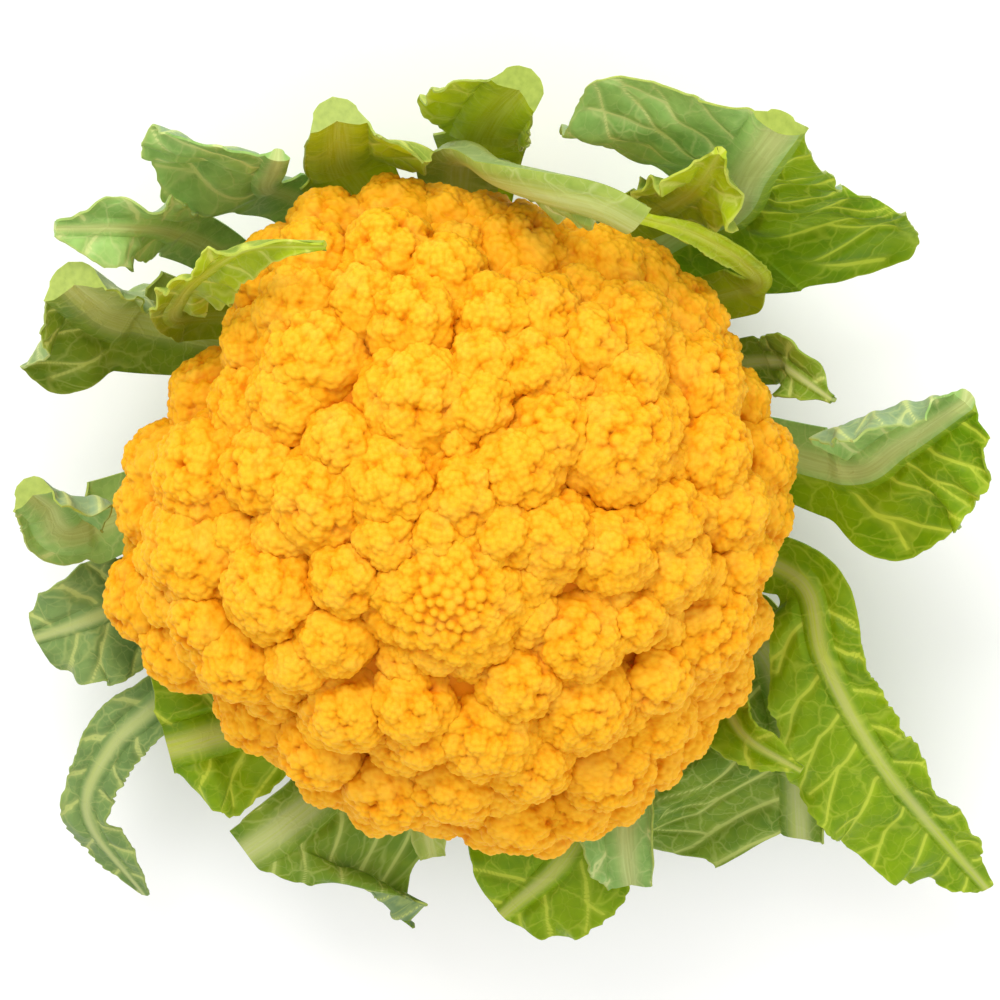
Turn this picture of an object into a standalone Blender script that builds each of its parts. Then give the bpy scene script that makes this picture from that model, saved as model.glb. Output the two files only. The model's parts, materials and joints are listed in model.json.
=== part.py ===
"""A yellow cauliflower with its trimmed leaves, standing on its cut stump.

The head's axis is Z and the stump's cut face is at z = 0. X runs to the right and Y to the back of
the head as it is seen from above. Lengths below are millimetres, and MM turns them into metres.
"""

import math
from typing import NamedTuple

import bmesh
import bpy
import numpy as np
from mathutils import Vector

MM = 0.001
COLLECTION = "Cauliflower"

# Head
CURD_RADIUS = 84.0
EQUATOR_HEIGHT = 72.0
DOME_RISE = 58.0
SKIRT_DROP = 40.0
CURD_CORE = (0.0, 0.0, 60.0)
HEAD_END = 130.0
# Florets added where the photograph shows none: their radius, where they start from the head's tip,
# how close they come to others as a share of both radii, and how deep they sit
ADDED_FLORETS = ((12.5, 60.0, 0.66, 1.0), (8.0, 8.0, 0.62, 5.0))
ADDED_CROWDING = 0.8
ADDED_SIZES = (0.75, 1.15)
FLORET_FILL = 1.22
FLORET_LIFT = 0.84
FLORET_SINK = 1.7
BUD_SHARE = 0.3
KNOB_SHARE = 0.45
KNOB_LEAST = 4.6
KNOB_LARGEST = 10.0
KNOB_SINK = 0.66
KNOB_OVERLAP = 1.26
KNOB_REACH = math.radians(112.0)
KNOB_START = 0.75
KNOB_LAST_TILT = 2.6
TIP_RING = 0.05
BUD_SIZE = 2.4
GOLDEN_ANGLE = math.radians(137.508)
SEED = 11
CURD_SUBDIVISIONS = 6
CURD_TRIANGLES = 8200
UNDERSIDE = ((0.0, 35.4), (32.0, 35.9), (54.0, 39.5), (67.0, 47.0), (73.0, 62.0))
BODY_SHARE = 0.86
# How far the head swells or dips beside a round one, at every 15 degrees round its axis from +X
HEAD_OUTLINE = (0.96, 0.98, 0.95, 0.98, 0.99, 0.94, 0.97, 1.04, 1.05, 0.92, 0.88, 0.96,
                0.99, 1.06, 0.98, 0.91, 0.95, 0.99, 1.00, 1.07, 1.06, 1.01, 0.99, 0.94)

# The photograph: its lean from straight above, its distance, its scale in mm a pixel, its middle,
# and where the head's middle lies in it
PHOTO_TILT = math.radians(20.0)
PHOTO_DISTANCE = 1000.0
PHOTO_SCALE = 0.2453
PHOTO_MIDDLE = (500.0, 500.0)
SIGHT_FROM = 80.0
SIGHT_TO = -50.0
SIGHT_STEPS = 521
HEAD_MIDDLE = (458.0, 516.0)

# Florets as they lie in the photograph: pixels from its left, pixels from its top, and radius in
# pixels, beginning with the one at the head's tip
FLORETS = (
    (452, 577, 74), (350, 575, 30), (335, 636, 30), (352, 702, 38), (415, 698, 34), (486, 723, 44),
    (518, 678, 33), (580, 697, 43), (578, 632, 37), (610, 547, 36), (551, 533, 36), (504, 533, 27),
    (464, 494, 31), (395, 481, 40), (323, 497, 42), (439, 531, 22), (388, 535, 24), (515, 466, 38),
    (612, 441, 52), (416, 398, 46), (344, 442, 28), (395, 778, 40), (455, 775, 38), (530, 756, 34),
    (603, 758, 40), (648, 752, 30), (520, 805, 38), (573, 800, 30), (625, 806, 28), (490, 828, 28),
    (545, 836, 28), (598, 832, 26), (325, 745, 36), (325, 785, 28), (378, 812, 28), (422, 735, 24),
    (278, 588, 42), (245, 650, 40), (262, 708, 45), (300, 660, 24), (205, 550, 45), (148, 598, 38),
    (172, 650, 38), (205, 620, 26), (325, 220, 34), (390, 197, 33), (440, 215, 32), (314, 262, 32),
    (390, 257, 36), (303, 310, 36), (263, 344, 30), (364, 300, 30), (412, 322, 36), (317, 357, 44),
    (296, 402, 36), (198, 390, 42), (212, 474, 45), (145, 462, 34), (270, 471, 36), (147, 507, 32),
    (444, 279, 33), (518, 262, 46), (598, 271, 36), (656, 261, 35), (695, 306, 44), (722, 348, 26),
    (623, 326, 34), (493, 322, 34), (540, 317, 32), (590, 342, 28), (532, 368, 32), (482, 362, 26),
    (688, 386, 44), (627, 378, 26), (752, 395, 28), (550, 431, 32), (478, 405, 28), (703, 455, 38),
    (768, 458, 38), (724, 509, 34), (569, 240, 27), (482, 224, 30), (662, 515, 30), (692, 617, 50),
    (632, 617, 26), (733, 557, 30), (740, 621, 28), (651, 672, 33), (724, 686, 42), (692, 741, 28),
    (780, 515, 34),
)

# Stump
STUMP_RADIUS = 23.4
STUMP_TOP_RADIUS = 22.5
STUMP_HEIGHT = 34.3
STUMP_SIDES = 24

# Leaves: how their stems leave the stump in three whorls, from the lowest to the highest
WHORLS = (
    ((24.6, 8.0), (50.0, 11.5), (77.0, 26.0)),
    ((24.6, 17.0), (48.0, 20.5), (73.0, 33.0)),
    ((24.0, 26.6), (46.0, 29.0), (69.0, 37.5)),
)
STEM_TURN = (0.0, 0.35, 0.85)
NECK_BEFORE_PATH = 0.06
ROOT_HALF_WIDTH = 6.0
ROOT_THICKNESS = 6.0
BLADE_THICKNESS = 1.0
FLANGE = 4.0
FLANGE_GROWTH = 1.5
WING_GROWTH = 0.6
WAVE_GROWTH = 1.5
WAVE_OFFSET = 1.9
STEM_SHARE = 0.42
STEM_ROWS = 4
BLADE_ROWS = 11
LEAF_COLUMNS = (-1.0, -0.66, -0.333, 0.0, 0.333, 0.66, 1.0)
FACING = (-0.3, 0.95)
CURVE_STEPS = 24
CURVE_POINTS = 240


class Leaf(NamedTuple):
    """One leaf: where its midrib runs and how its two wings stand from it.

    path: points of the midrib outside the head, as azimuth in degrees, radius and height
    left, right: widths of the wings at even steps from the neck to the cut end
    lift: degrees that the left and right wing rise from the leaf's plane at the midrib
    curl: degrees that each wing bends on towards its margin
    roll: degrees that the leaf is turned round its midrib at its neck and its end
    slant: how far each wing leans towards the leaf's end, as a share of its width
    wave: height and number of the waves along each margin
    rib: half width of the midrib at its neck and its end, and its thickness there
    """

    name: str
    root: float
    whorl: int
    path: tuple
    left: tuple
    right: tuple
    lift: tuple
    curl: tuple
    roll: tuple
    slant: tuple
    wave: tuple
    rib: tuple
    colour: tuple


BRIGHT = (0.16, 0.36, 0.02)
DARK = (0.06, 0.20, 0.04)
WAXY = (0.16, 0.27, 0.10)
LIME = (0.40, 0.50, 0.06)
PALE = (0.55, 0.58, 0.14)

LEAVES = (
    Leaf("right_long", 10, 1, ((3, 98, 52), (9, 110, 67), (15, 127, 80)),
         (4, 8, 25, 32, 22), (14, 26, 27, 22, 12), (20, 5), (110, 10), (0, 0), (0.0, 0.0), (1.5, 2),
         (6, 4, 6, 4), WAXY),
    Leaf("right_small", 12, 2, ((24, 86, 56), (24, 89, 68), (20, 96, 80)),
         (6, 9, 10, 7, 1), (6, 8, 8, 5, 1), (10, 10), (10, 10), (20, 20), (0.0, 0.0), (1.0, 2),
         (3, 1, 4, 2), DARK),
    Leaf("upper_right_broad", 50, 0, ((48, 98, 50), (53, 114, 84), (55, 130, 102)),
         (8, 30, 46, 44, 20), (30, 48, 43, 23, 6), (-5, -12), (15, -20), (0, 0), (0.0, -0.75), (3.0, 2),
         (8, 7, 7, 6), WAXY),
    Leaf("upper_right_narrow", 42, 2, ((37, 91, 58), (44, 95, 75), (54, 95, 88), (63, 93, 95)),
         (3, 3.5, 4, 3.5, 1), (3, 3.5, 3.5, 3, 1), (20, 20), (0, 0), (-10, -20), (0.0, 0.0), (0.3, 3),
         (3, 1.5, 3.5, 2), PALE),
    Leaf("upper_right_crinkled", 64, 1, ((56, 92, 60), (57, 104, 84), (59, 118, 105)),
         (6, 12, 14, 12, 3), (6, 12, 14, 13, 3), (20, 20), (40, 40), (0, 0), (0.0, 0.0), (3.5, 3),
         (4, 2, 4, 2), LIME),
    Leaf("top_tangential", 97, 2, ((89, 88, 62), (84, 91, 88), (77, 94, 104), (70, 96, 110), (64, 95, 109)),
         (5, 5, 4, 5, 4), (8, 15, 17, 15, 7), (10, -25), (20, -25), (0, 0), (0.0, 0.0), (2.0, 3),
         (7, 7, 6, 6), PALE),
    Leaf("top_stub", 86, 0, ((86, 91, 48), (84, 104, 69), (82, 114, 86)),
         (8, 12, 20, 20, 7), (9, 12, 12, 11, 7), (5, 25), (25, 60), (0, 0), (0.0, 0.0), (2.0, 2),
         (8, 8, 6, 6), LIME),
    Leaf("top_left_stub", 106, 1, ((109, 88, 50), (107, 99, 68), (105, 109, 84)),
         (8, 9, 9, 9, 6), (9, 13, 24, 26, 12), (25, 15), (30, 25), (0, 0), (0.0, 0.0), (1.5, 2),
         (8, 8, 6, 6), LIME),
    Leaf("upper_left_triangle", 118, 0, ((121, 90, 50), (117, 97, 67), (114, 103, 84)),
         (11, 26, 33, 33, 28), (3, 3, 3, 3, 2), (-12, 5), (-8, 5), (0, 0), (0.05, 0.0), (1.0, 2),
         (4, 3, 4, 3), WAXY),
    Leaf("left_crinkled", 138, 2,
         ((146, 83, 58), (139, 88, 78), (131, 91, 95), (121, 92, 107), (110, 87, 115)),
         (5, 7, 9, 8, 1), (5, 9, 11, 8, 1), (25, 10), (40, 30), (0, 0), (0.0, 0.0), (2.5, 4),
         (3, 1, 3.5, 1.5), LIME),
    Leaf("left_stub", 147, 1, ((152, 95, 46), (148, 104, 66), (145, 112, 80)),
         (16, 27, 27, 19, 9), (8, 11, 14, 15, 11), (5, 30), (20, 60), (0, 0), (-0.7, 0.0), (1.5, 2),
         (9, 9, 6, 6), PALE),
    Leaf("upper_left_fold", 152, 0, ((136, 97, 54), (136, 108, 76), (141, 122, 83)),
         (6, 10, 12, 11, 4), (6, 10, 12, 10, 4), (15, 15), (20, 20), (0, 0), (0.0, 0.0), (2.0, 3),
         (4, 2, 4, 2), WAXY),
    Leaf("left_fold", 181, 1, ((187, 98, 49), (180, 102, 63), (176, 105, 73)),
         (8, 10, 11, 10, 7), (6, 8, 16, 19, 11), (10, 25), (20, 80), (0, 0), (0.0, 0.0), (1.0, 2),
         (7, 6, 5, 5), WAXY),
    Leaf("left_dark", 195, 0, ((203, 92, 36), (202, 103, 44), (202, 117, 43)),
         (12, 18, 19, 17, 12), (10, 14, 15, 12, 7), (0, 0), (5, 5), (0, 0), (0.0, 0.0), (1.5, 3),
         (4, 2, 4, 2), DARK),
    Leaf("lower_left_twisted", 225, 0, ((219, 98, 40), (220, 118, 40), (225, 138, 34), (236, 151, 24)),
         (7, 9, 8, 9, 3), (7, 9, 8, 9, 3), (5, 5), (10, 10), (0, -60), (0.0, 0.0), (1.5, 2),
         (4, 1.5, 4, 2), DARK),
    Leaf("lower_left_lime", 228, 1, ((231, 86, 42), (226, 94, 52), (223, 102, 54)),
         (12, 20, 23, 20, 8), (12, 22, 28, 27, 12), (0, 5), (-10, 10), (0, 0), (0.0, 0.25), (2.5, 2),
         (6, 6, 5, 5), BRIGHT),
    Leaf("bottom_left", 254, 0, ((248, 97, 32), (244, 106, 44), (241, 116, 46)),
         (14, 34, 48, 44, 20), (7, 8, 9, 9, 7), (-10, 20), (-15, 30), (0, 0), (-0.75, 0.0), (2.0, 2),
         (8, 8, 6, 6), WAXY),
    Leaf("bottom_small", 264, 2, ((264, 86, 44), (265, 96, 48), (266, 103, 48)),
         (5, 6, 6, 5, 4), (5, 5, 5, 5, 4), (20, 20), (20, 20), (0, 0), (0.0, 0.0), (0.5, 2),
         (4, 3, 4, 3), PALE),
    Leaf("bottom", 283, 0, ((289, 100, 32), (284, 111, 40), (275, 126, 36)),
         (10, 17, 20, 18, 8), (12, 23, 30, 28, 13), (0, 0), (-5, -5), (0, 0), (0.0, 0.0), (1.5, 2),
         (5, 2.5, 4, 2), BRIGHT),
    Leaf("bottom_stub", 297, 1, ((297, 92, 42), (294, 106, 50), (292, 119, 47)),
         (6, 7, 8, 8, 6), (8, 12, 16, 14, 8), (15, 15), (30, 40), (0, 0), (0.0, 0.0), (1.5, 2),
         (6, 6, 5, 5), WAXY),
    Leaf("lower_right_dark", 318, 0, ((327, 96, 32), (319, 116, 38), (311, 137, 34)),
         (8, 14, 14, 12, 8), (14, 36, 50, 52, 26), (10, -5), (60, -5), (0, 0), (0.0, 0.7), (2.0, 2),
         (7, 6, 5, 5), DARK),
    Leaf("lower_right_serrated", 321, 2, ((320, 86, 50), (319, 96, 62), (321, 111, 68)),
         (5, 7, 8, 6, 1), (5, 8, 9, 7, 1), (20, 20), (25, 25), (0, 0), (0.0, 0.0), (1.5, 2),
         (3, 1.5, 3.5, 2), BRIGHT),
    Leaf("lower_right_long", 337, 1,
         ((342, 92, 44), (334, 103, 54), (326, 128, 52), (322, 153, 42), (319, 185, 28)),
         (8, 11, 11, 11, 10, 8, 3), (6, 12, 20, 24, 23, 17, 6), (5, 5), (5, 0), (0, 0), (0.0, 0.0), (3.0, 5),
         (4, 2, 4.5, 2.5), BRIGHT),
)


def smooth_curve(points, count):
    """Catmull-Rom through the points, read at even steps of its length."""
    points = np.asarray(points, float)
    padded = np.vstack([2 * points[0] - points[1], points, 2 * points[-1] - points[-2]])
    steps = np.linspace(0.0, 1.0, CURVE_STEPS, endpoint=False)[:, None]
    runs = []
    for p0, p1, p2, p3 in zip(padded, padded[1:], padded[2:], padded[3:]):
        runs.append(0.5 * (2 * p1 + (p2 - p0) * steps + (2 * p0 - 5 * p1 + 4 * p2 - p3) * steps**2
                           + (3 * p1 - p0 - 3 * p2 + p3) * steps**3))
    fine = np.vstack(runs + [points[-1:]])
    along = np.concatenate([[0.0], np.cumsum(np.linalg.norm(np.diff(fine, axis=0), axis=1))])
    wanted = np.linspace(0.0, along[-1], count)
    return np.stack([np.interp(wanted, along, fine[:, axis]) for axis in range(3)], axis=1)


def around_axis(azimuth, radius, height):
    """The point at this azimuth in degrees, radius and height."""
    angle = math.radians(azimuth)
    return radius * math.cos(angle), radius * math.sin(angle), height


def midrib_points(leaf):
    """Points that the whole midrib passes through, from the stump to the end, and how many are stem."""
    turn = (leaf.path[0][0] - leaf.root + 180.0) % 360.0 - 180.0
    stem = [around_axis(leaf.root + turn * share, radius, height)
            for share, (radius, height) in zip(STEM_TURN, WHORLS[leaf.whorl])]
    return stem + [around_axis(*point) for point in leaf.path]


def unit(vectors):
    return vectors / np.linalg.norm(vectors, axis=-1, keepdims=True)


def eased(values, places):
    """Values at even steps, read smoothly at places from 0 to 1."""
    values = np.asarray(values, float)
    position = np.clip(places, 0.0, 1.0) * (len(values) - 1)
    low = np.minimum(position.astype(int), len(values) - 2)
    part = position - low
    part = part * part * (3 - 2 * part)
    return values[low] * (1 - part) + values[low + 1] * part


def leaf_sheet(leaf, rows, columns):
    """The leaf's inner face as rows of points, its thickness there, in millimetres.

    rows: places along the midrib from 0 at the stump to 1 at the end
    columns: places across from -1 at the left margin to 1 at the right one, where a third of the
    way out is the midrib's edge
    """
    points = midrib_points(leaf)
    fine = smooth_curve(points, CURVE_POINTS)
    along = np.linspace(0.0, 1.0, len(fine))
    centre = np.stack([np.interp(rows, along, fine[:, axis]) for axis in range(3)], axis=1)
    tangents = unit(np.gradient(fine, axis=0))
    tangent = unit(np.stack([np.interp(rows, along, tangents[:, axis]) for axis in range(3)], axis=1))
    radial = unit(centre * (1.0, 1.0, 0.0))
    facing = FACING[0] * radial + FACING[1] * np.array((0.0, 0.0, 1.0))
    normal = unit(facing - (facing * tangent).sum(axis=1, keepdims=True) * tangent)
    side = np.cross(tangent, normal)
    neck = np.argmin(np.linalg.norm(fine - around_axis(*leaf.path[0]), axis=1)) / (len(fine) - 1)
    neck = neck - NECK_BEFORE_PATH
    free = np.clip((rows - neck) / (1.0 - neck), 0.0, 1.0)
    growth = free**WING_GROWTH
    roll = np.radians(leaf.roll[0] * growth + (leaf.roll[1] - leaf.roll[0]) * free)[:, None]
    across = side * np.cos(roll) + normal * np.sin(roll)
    inward = normal * np.cos(roll) - side * np.sin(roll)
    rib = np.interp(rows, (0.0, neck, 1.0), (ROOT_HALF_WIDTH, leaf.rib[0], leaf.rib[1]))
    rib_thickness = np.interp(rows, (0.0, neck, 1.0), (ROOT_THICKNESS, leaf.rib[2], leaf.rib[3]))
    sheet = np.empty((len(rows), len(columns), 3))
    thickness = np.empty((len(rows), len(columns)))
    for index, column in enumerate(columns):
        hand = 0 if column < 0 else 1
        sign = -1.0 if column < 0 else 1.0
        reach = abs(column)
        width = eased((leaf.left, leaf.right)[hand], free)
        width = np.maximum(width - rib, 0.0)
        width = np.where(rows < neck, np.maximum(width, FLANGE) * (rows / neck) ** FLANGE_GROWTH, width)
        edge = rib * min(reach * 3.0, 1.0)
        beyond = width * max(reach * 1.5 - 0.5, 0.0)
        distance = edge + beyond
        wing = np.maximum(width + rib, 1.0)
        lift = math.radians(leaf.lift[hand]) * growth
        curl = math.radians(leaf.curl[hand]) * growth
        bend = curl / wing
        small = np.abs(bend) < 1e-6
        safe = np.where(small, 1.0, bend)
        out = np.where(small, distance * np.cos(lift),
                       (np.sin(lift + bend * distance) - np.sin(lift)) / safe)
        rise = np.where(small, distance * np.sin(lift),
                        (np.cos(lift) - np.cos(lift + bend * distance)) / safe)
        ruffle = (leaf.wave[0] * growth * (beyond / wing) ** WAVE_GROWTH
                  * np.sin(2 * math.pi * leaf.wave[1] * free + (WAVE_OFFSET if hand else 0.0)))
        forward = leaf.slant[hand] * beyond * growth
        sheet[:, index] = (centre + across * (sign * out)[:, None] + tangent * forward[:, None]
                           + inward * (rise + ruffle)[:, None])
        round_rib = math.sqrt(max(0.0, 1.0 - min(reach * 3.0, 1.0) ** 2))
        thickness[:, index] = BLADE_THICKNESS + (rib_thickness - BLADE_THICKNESS) * round_rib
    return sheet, thickness


def golden_spiral(start, end, size_at, radius_at):
    """Distances from the tip at which a spiral grows its buds, each taking room for its size."""
    distances = []
    distance = start
    while distance < end:
        distances.append(distance)
        distance += size_at(distance) ** 2 / (2 * math.pi * radius_at(distance))
    return np.array(distances)


def dome_profile(distance):
    """Radius, height and outward slope of the head's outer surface, this far from its tip."""
    angles = np.linspace(0.0, 2.5, 400)
    drop = np.where(angles < math.pi / 2, DOME_RISE, SKIRT_DROP)
    radius = CURD_RADIUS * np.sin(angles)
    height = EQUATOR_HEIGHT + drop * np.cos(angles)
    along = np.concatenate([[0.0], np.cumsum(np.hypot(np.diff(radius), np.diff(height)))])
    angle = np.interp(distance, along, angles)
    r = np.interp(distance, along, radius)
    z = np.interp(distance, along, height)
    rise = np.where(angle < math.pi / 2, DOME_RISE, SKIRT_DROP)
    normal = np.stack([np.sin(angle) / CURD_RADIUS, np.cos(angle) / rise], axis=-1)
    return r, z, unit(normal)


def head_swell(azimuths, share):
    """How much wider than round the head is at these azimuths, at share 0 of the way out to 1."""
    place = np.degrees(azimuths) % 360.0 / 360.0
    around = eased(HEAD_OUTLINE + HEAD_OUTLINE[:1], place)
    return 1.0 + (around - 1.0) * np.clip(share, 0.0, 1.0)


def dome_level(points, shrink):
    """How far out each point lies, where 1 is the head's outer surface drawn in by shrink."""
    flat = np.hypot(points[..., 0], points[..., 1])
    azimuth = np.arctan2(points[..., 1], points[..., 0])
    height = points[..., 2] - EQUATOR_HEIGHT
    wide = CURD_RADIUS * head_swell(azimuth, flat / CURD_RADIUS) - shrink
    rise = np.where(height > 0, DOME_RISE, SKIRT_DROP) - shrink
    return np.hypot(flat / wide, height / rise)


def photographed_florets():
    """Centres and radii of the florets in the photograph, each where its line of sight meets the head."""
    table = np.array(FLORETS, float)
    radii = FLORET_FILL * PHOTO_SCALE * table[:, 2]
    right = np.array((1.0, 0.0, 0.0))
    up = np.array((0.0, math.cos(PHOTO_TILT), -math.sin(PHOTO_TILT)))
    back = np.array((0.0, math.sin(PHOTO_TILT), math.cos(PHOTO_TILT)))
    middle = np.array((0.0, 0.0, EQUATOR_HEIGHT))
    aside, above = (PHOTO_SCALE * (PHOTO_MIDDLE[0] - HEAD_MIDDLE[0]),
                    PHOTO_SCALE * (HEAD_MIDDLE[1] - PHOTO_MIDDLE[1]))
    eye = middle + right * aside + up * above + back * PHOTO_DISTANCE
    seen = (middle + right * (PHOTO_SCALE * (table[:, :1] - HEAD_MIDDLE[0]))
            + up * (PHOTO_SCALE * (HEAD_MIDDLE[1] - table[:, 1:2])))
    nearer = np.linspace(SIGHT_FROM, SIGHT_TO, SIGHT_STEPS) / PHOTO_DISTANCE
    line = seen[:, None, :] + (eye - seen)[:, None, :] * nearer[None, :, None]
    level = dome_level(line, FLORET_LIFT * radii[:, None] + FLORET_SINK)
    inside = level <= 1.0
    first = np.where(inside.any(axis=1), inside.argmax(axis=1), level.argmin(axis=1))
    row = np.arange(len(line))
    drawn_in = np.maximum(level[row, first], 1.0)[:, None]
    return middle + (line[row, first] - middle) / drawn_in, radii


def florets():
    """Centres, outward directions and radii of the florets, with more where the photograph shows none."""
    centres, radii = photographed_florets()
    centres, radii = list(centres), list(radii)
    random = np.random.default_rng(SEED)
    for usual, start, room, sink in ADDED_FLORETS:
        distances = golden_spiral(start, HEAD_END, lambda s: ADDED_CROWDING * usual,
                                  lambda s: float(dome_profile(s)[0]))
        for index, distance in enumerate(distances):
            radius = usual * random.uniform(*ADDED_SIZES)
            angle = GOLDEN_ANGLE * index
            r, z, normal = dome_profile(distance)
            r = r * head_swell(angle, distance / CURD_RADIUS)
            ring = np.array((math.cos(angle), math.sin(angle), 0.0))
            up = np.array((0.0, 0.0, 1.0))
            centre = ring * r + up * z - (ring * normal[0] + up * normal[1]) * (radius + sink)
            gaps = np.linalg.norm(np.array(centres) - centre, axis=1)
            if (gaps > room * (np.array(radii) + radius)).all():
                centres.append(centre)
                radii.append(radius)
    centres = np.array(centres)
    lean = (centres - (0.0, 0.0, EQUATOR_HEIGHT)) / CURD_RADIUS**2
    lean[:, 2] *= (CURD_RADIUS / np.where(lean[:, 2] > 0, DOME_RISE, SKIRT_DROP))**2
    return centres, unit(lean), np.array(radii)


def side_directions(outward):
    """Two directions square to each outward one."""
    helper = np.where(np.abs(outward[..., 2:]) < 0.9, (0.0, 0.0, 1.0), (1.0, 0.0, 0.0))
    first = unit(np.cross(helper, outward))
    return first, np.cross(outward, first)


def knobs(centre, outward, radius, least, share, random):
    """Centres and radii of the knobs that cover one floret, growing in a spiral from its tip.

    least: how wide the knobs at the tip are
    share: how wide a knob further on is, as a share of its distance from the tip
    """
    distances = golden_spiral(
        KNOB_START * least, KNOB_REACH * radius, lambda s: min(max(share * s, least), KNOB_LARGEST),
        lambda s: radius * math.sin(min(s / radius, KNOB_LAST_TILT)) + TIP_RING,
    )
    distances = np.concatenate([[0.0], distances])
    sizes = np.clip(share * distances, least, KNOB_LARGEST) * random.uniform(0.85, 1.15, len(distances))
    turns = GOLDEN_ANGLE * np.arange(len(distances)) + random.uniform(0.0, 6.0)
    tilt = distances / radius
    first, second = side_directions(outward)
    directions = (outward * np.cos(tilt)[:, None]
                  + (first * np.cos(turns)[:, None] + second * np.sin(turns)[:, None])
                  * np.sin(tilt)[:, None])
    knob_radii = KNOB_OVERLAP / 2 * sizes
    return centre + directions * (radius - KNOB_SINK * knob_radii)[:, None], knob_radii


def curd_spheres():
    """Every floret and knob as a sphere."""
    random = np.random.default_rng(SEED + 1)
    centres, outward, radii = florets()
    all_centres = [centres]
    all_radii = [radii]
    for index, (centre, direction, radius) in enumerate(zip(centres, outward, radii)):
        least, share = (KNOB_LEAST, KNOB_SHARE) if index else (BUD_SIZE, BUD_SHARE)
        knob_centres, knob_radii = knobs(centre, direction, radius, least, share, random)
        all_centres.append(knob_centres)
        all_radii.append(knob_radii)
    return np.vstack(all_centres), np.concatenate(all_radii)


def furthest_hit(directions, origin, centres, radii, start):
    """How far from the origin each direction leaves the last sphere that it meets."""
    reach = start.copy()
    for centre, radius in zip(centres - origin, radii):
        along = directions @ centre
        under = radius**2 - (centre @ centre - along**2)
        hits = under > 0
        reach[hits] = np.maximum(reach[hits], along[hits] + np.sqrt(under[hits]))
    return reach


def underside_reach(directions, origin):
    """Distance from the origin to the plain body inside the florets, closed by the branches below."""
    corners = np.array(UNDERSIDE)
    steps = np.linspace(0.0, len(corners) - 1.0, 60)
    radii = np.interp(steps, range(len(corners)), corners[:, 0])
    heights = np.interp(steps, range(len(corners)), corners[:, 1])
    dome = np.linspace(0.05, math.pi / 2, 30)
    radii = np.concatenate([radii, BODY_SHARE * CURD_RADIUS * np.cos(dome)])
    heights = np.concatenate([heights, EQUATOR_HEIGHT + BODY_SHARE * DOME_RISE * np.sin(dome)]) - origin[2]
    elevation = np.arcsin(np.clip(directions[:, 2], -1.0, 1.0))
    reach = np.interp(elevation, np.arctan2(heights, radii), np.hypot(heights, radii))
    azimuth = np.arctan2(directions[:, 1], directions[:, 0])
    return reach * head_swell(azimuth, np.cos(elevation) ** 2)


def material(name, colour, roughness):
    made = bpy.data.materials.new(name)
    made.use_nodes = True
    shader = made.node_tree.nodes["Principled BSDF"]
    shader.inputs["Base Color"].default_value = (*colour, 1.0)
    shader.inputs["Roughness"].default_value = roughness
    shader.inputs["Metallic"].default_value = 0.0
    return made


def add_object(name, bm, collection, finish):
    mesh = bpy.data.meshes.new(name)
    bm.to_mesh(mesh)
    bm.free()
    mesh.materials.append(finish)
    made = bpy.data.objects.new(name, mesh)
    collection.objects.link(made)
    return made


def build_curd(collection):
    """The head: a sphere pushed out to its florets and knobs, thinned to few triangles."""
    bm = bmesh.new()
    bmesh.ops.create_icosphere(bm, subdivisions=CURD_SUBDIVISIONS, radius=1.0)
    origin = np.array(CURD_CORE)
    directions = unit(np.array([vert.co[:] for vert in bm.verts]))
    start = underside_reach(directions, origin)
    centres, radii = curd_spheres()
    reach = furthest_hit(directions, origin, centres, radii, start)
    for vert, point in zip(bm.verts, origin + directions * reach[:, None]):
        vert.co = Vector(point) * MM
    curd = add_object("curd", bm, collection, material("curd orange", (0.95, 0.42, 0.03), 0.6))
    thin = curd.modifiers.new("Decimate", "DECIMATE")
    thin.ratio = CURD_TRIANGLES / len(curd.data.polygons)
    return curd


def build_stump(collection):
    """The cut stem, flat at the bottom."""
    bm = bmesh.new()
    bmesh.ops.create_cone(bm, cap_ends=True, segments=STUMP_SIDES, radius1=STUMP_RADIUS * MM,
                          radius2=STUMP_TOP_RADIUS * MM, depth=STUMP_HEIGHT * MM)
    bmesh.ops.translate(bm, verts=bm.verts, vec=(0.0, 0.0, STUMP_HEIGHT / 2 * MM))
    return add_object("stump", bm, collection, material("stump cut stem", (0.62, 0.60, 0.36), 0.6))


def build_leaf(leaf, collection):
    """One leaf: a grid laid along its midrib, given its thickness towards the back."""
    rows = np.concatenate([np.linspace(0.0, STEM_SHARE, STEM_ROWS, endpoint=False),
                           np.linspace(STEM_SHARE, 1.0, BLADE_ROWS)])
    columns = np.array(LEAF_COLUMNS)
    sheet, thickness = leaf_sheet(leaf, rows, columns)
    bm = bmesh.new()
    bmesh.ops.create_grid(bm, x_segments=len(columns) - 1, y_segments=len(rows) - 1, size=0.5)
    bm.verts.ensure_lookup_table()
    weights = np.empty(len(bm.verts))
    for vert in bm.verts:
        column = round((vert.co.x + 0.5) * (len(columns) - 1))
        row = round((vert.co.y + 0.5) * (len(rows) - 1))
        vert.co = Vector(sheet[row, column]) * MM
        weights[vert.index] = thickness[row, column]
    bmesh.ops.triangulate(bm, faces=bm.faces, quad_method="ALTERNATE")
    made = add_object("leaf_" + leaf.name, bm, collection,
                      material("leaf " + leaf.name.replace("_", " "), leaf.colour, 0.5))
    thickest = weights.max()
    group = made.vertex_groups.new(name="thickness")
    for index, weight in enumerate(weights):
        group.add([index], weight / thickest, "REPLACE")
    shell = made.modifiers.new("Solidify", "SOLIDIFY")
    shell.thickness = thickest * MM
    shell.offset = -1.0
    shell.vertex_group = group.name
    return made


def main():
    for old in list(bpy.data.objects):
        bpy.data.objects.remove(old, do_unlink=True)
    collection = bpy.data.collections.new(COLLECTION)
    bpy.context.scene.collection.children.link(collection)
    build_curd(collection)
    build_stump(collection)
    for leaf in LEAVES:
        build_leaf(leaf, collection)


if __name__ == "__main__":
    main()
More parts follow.
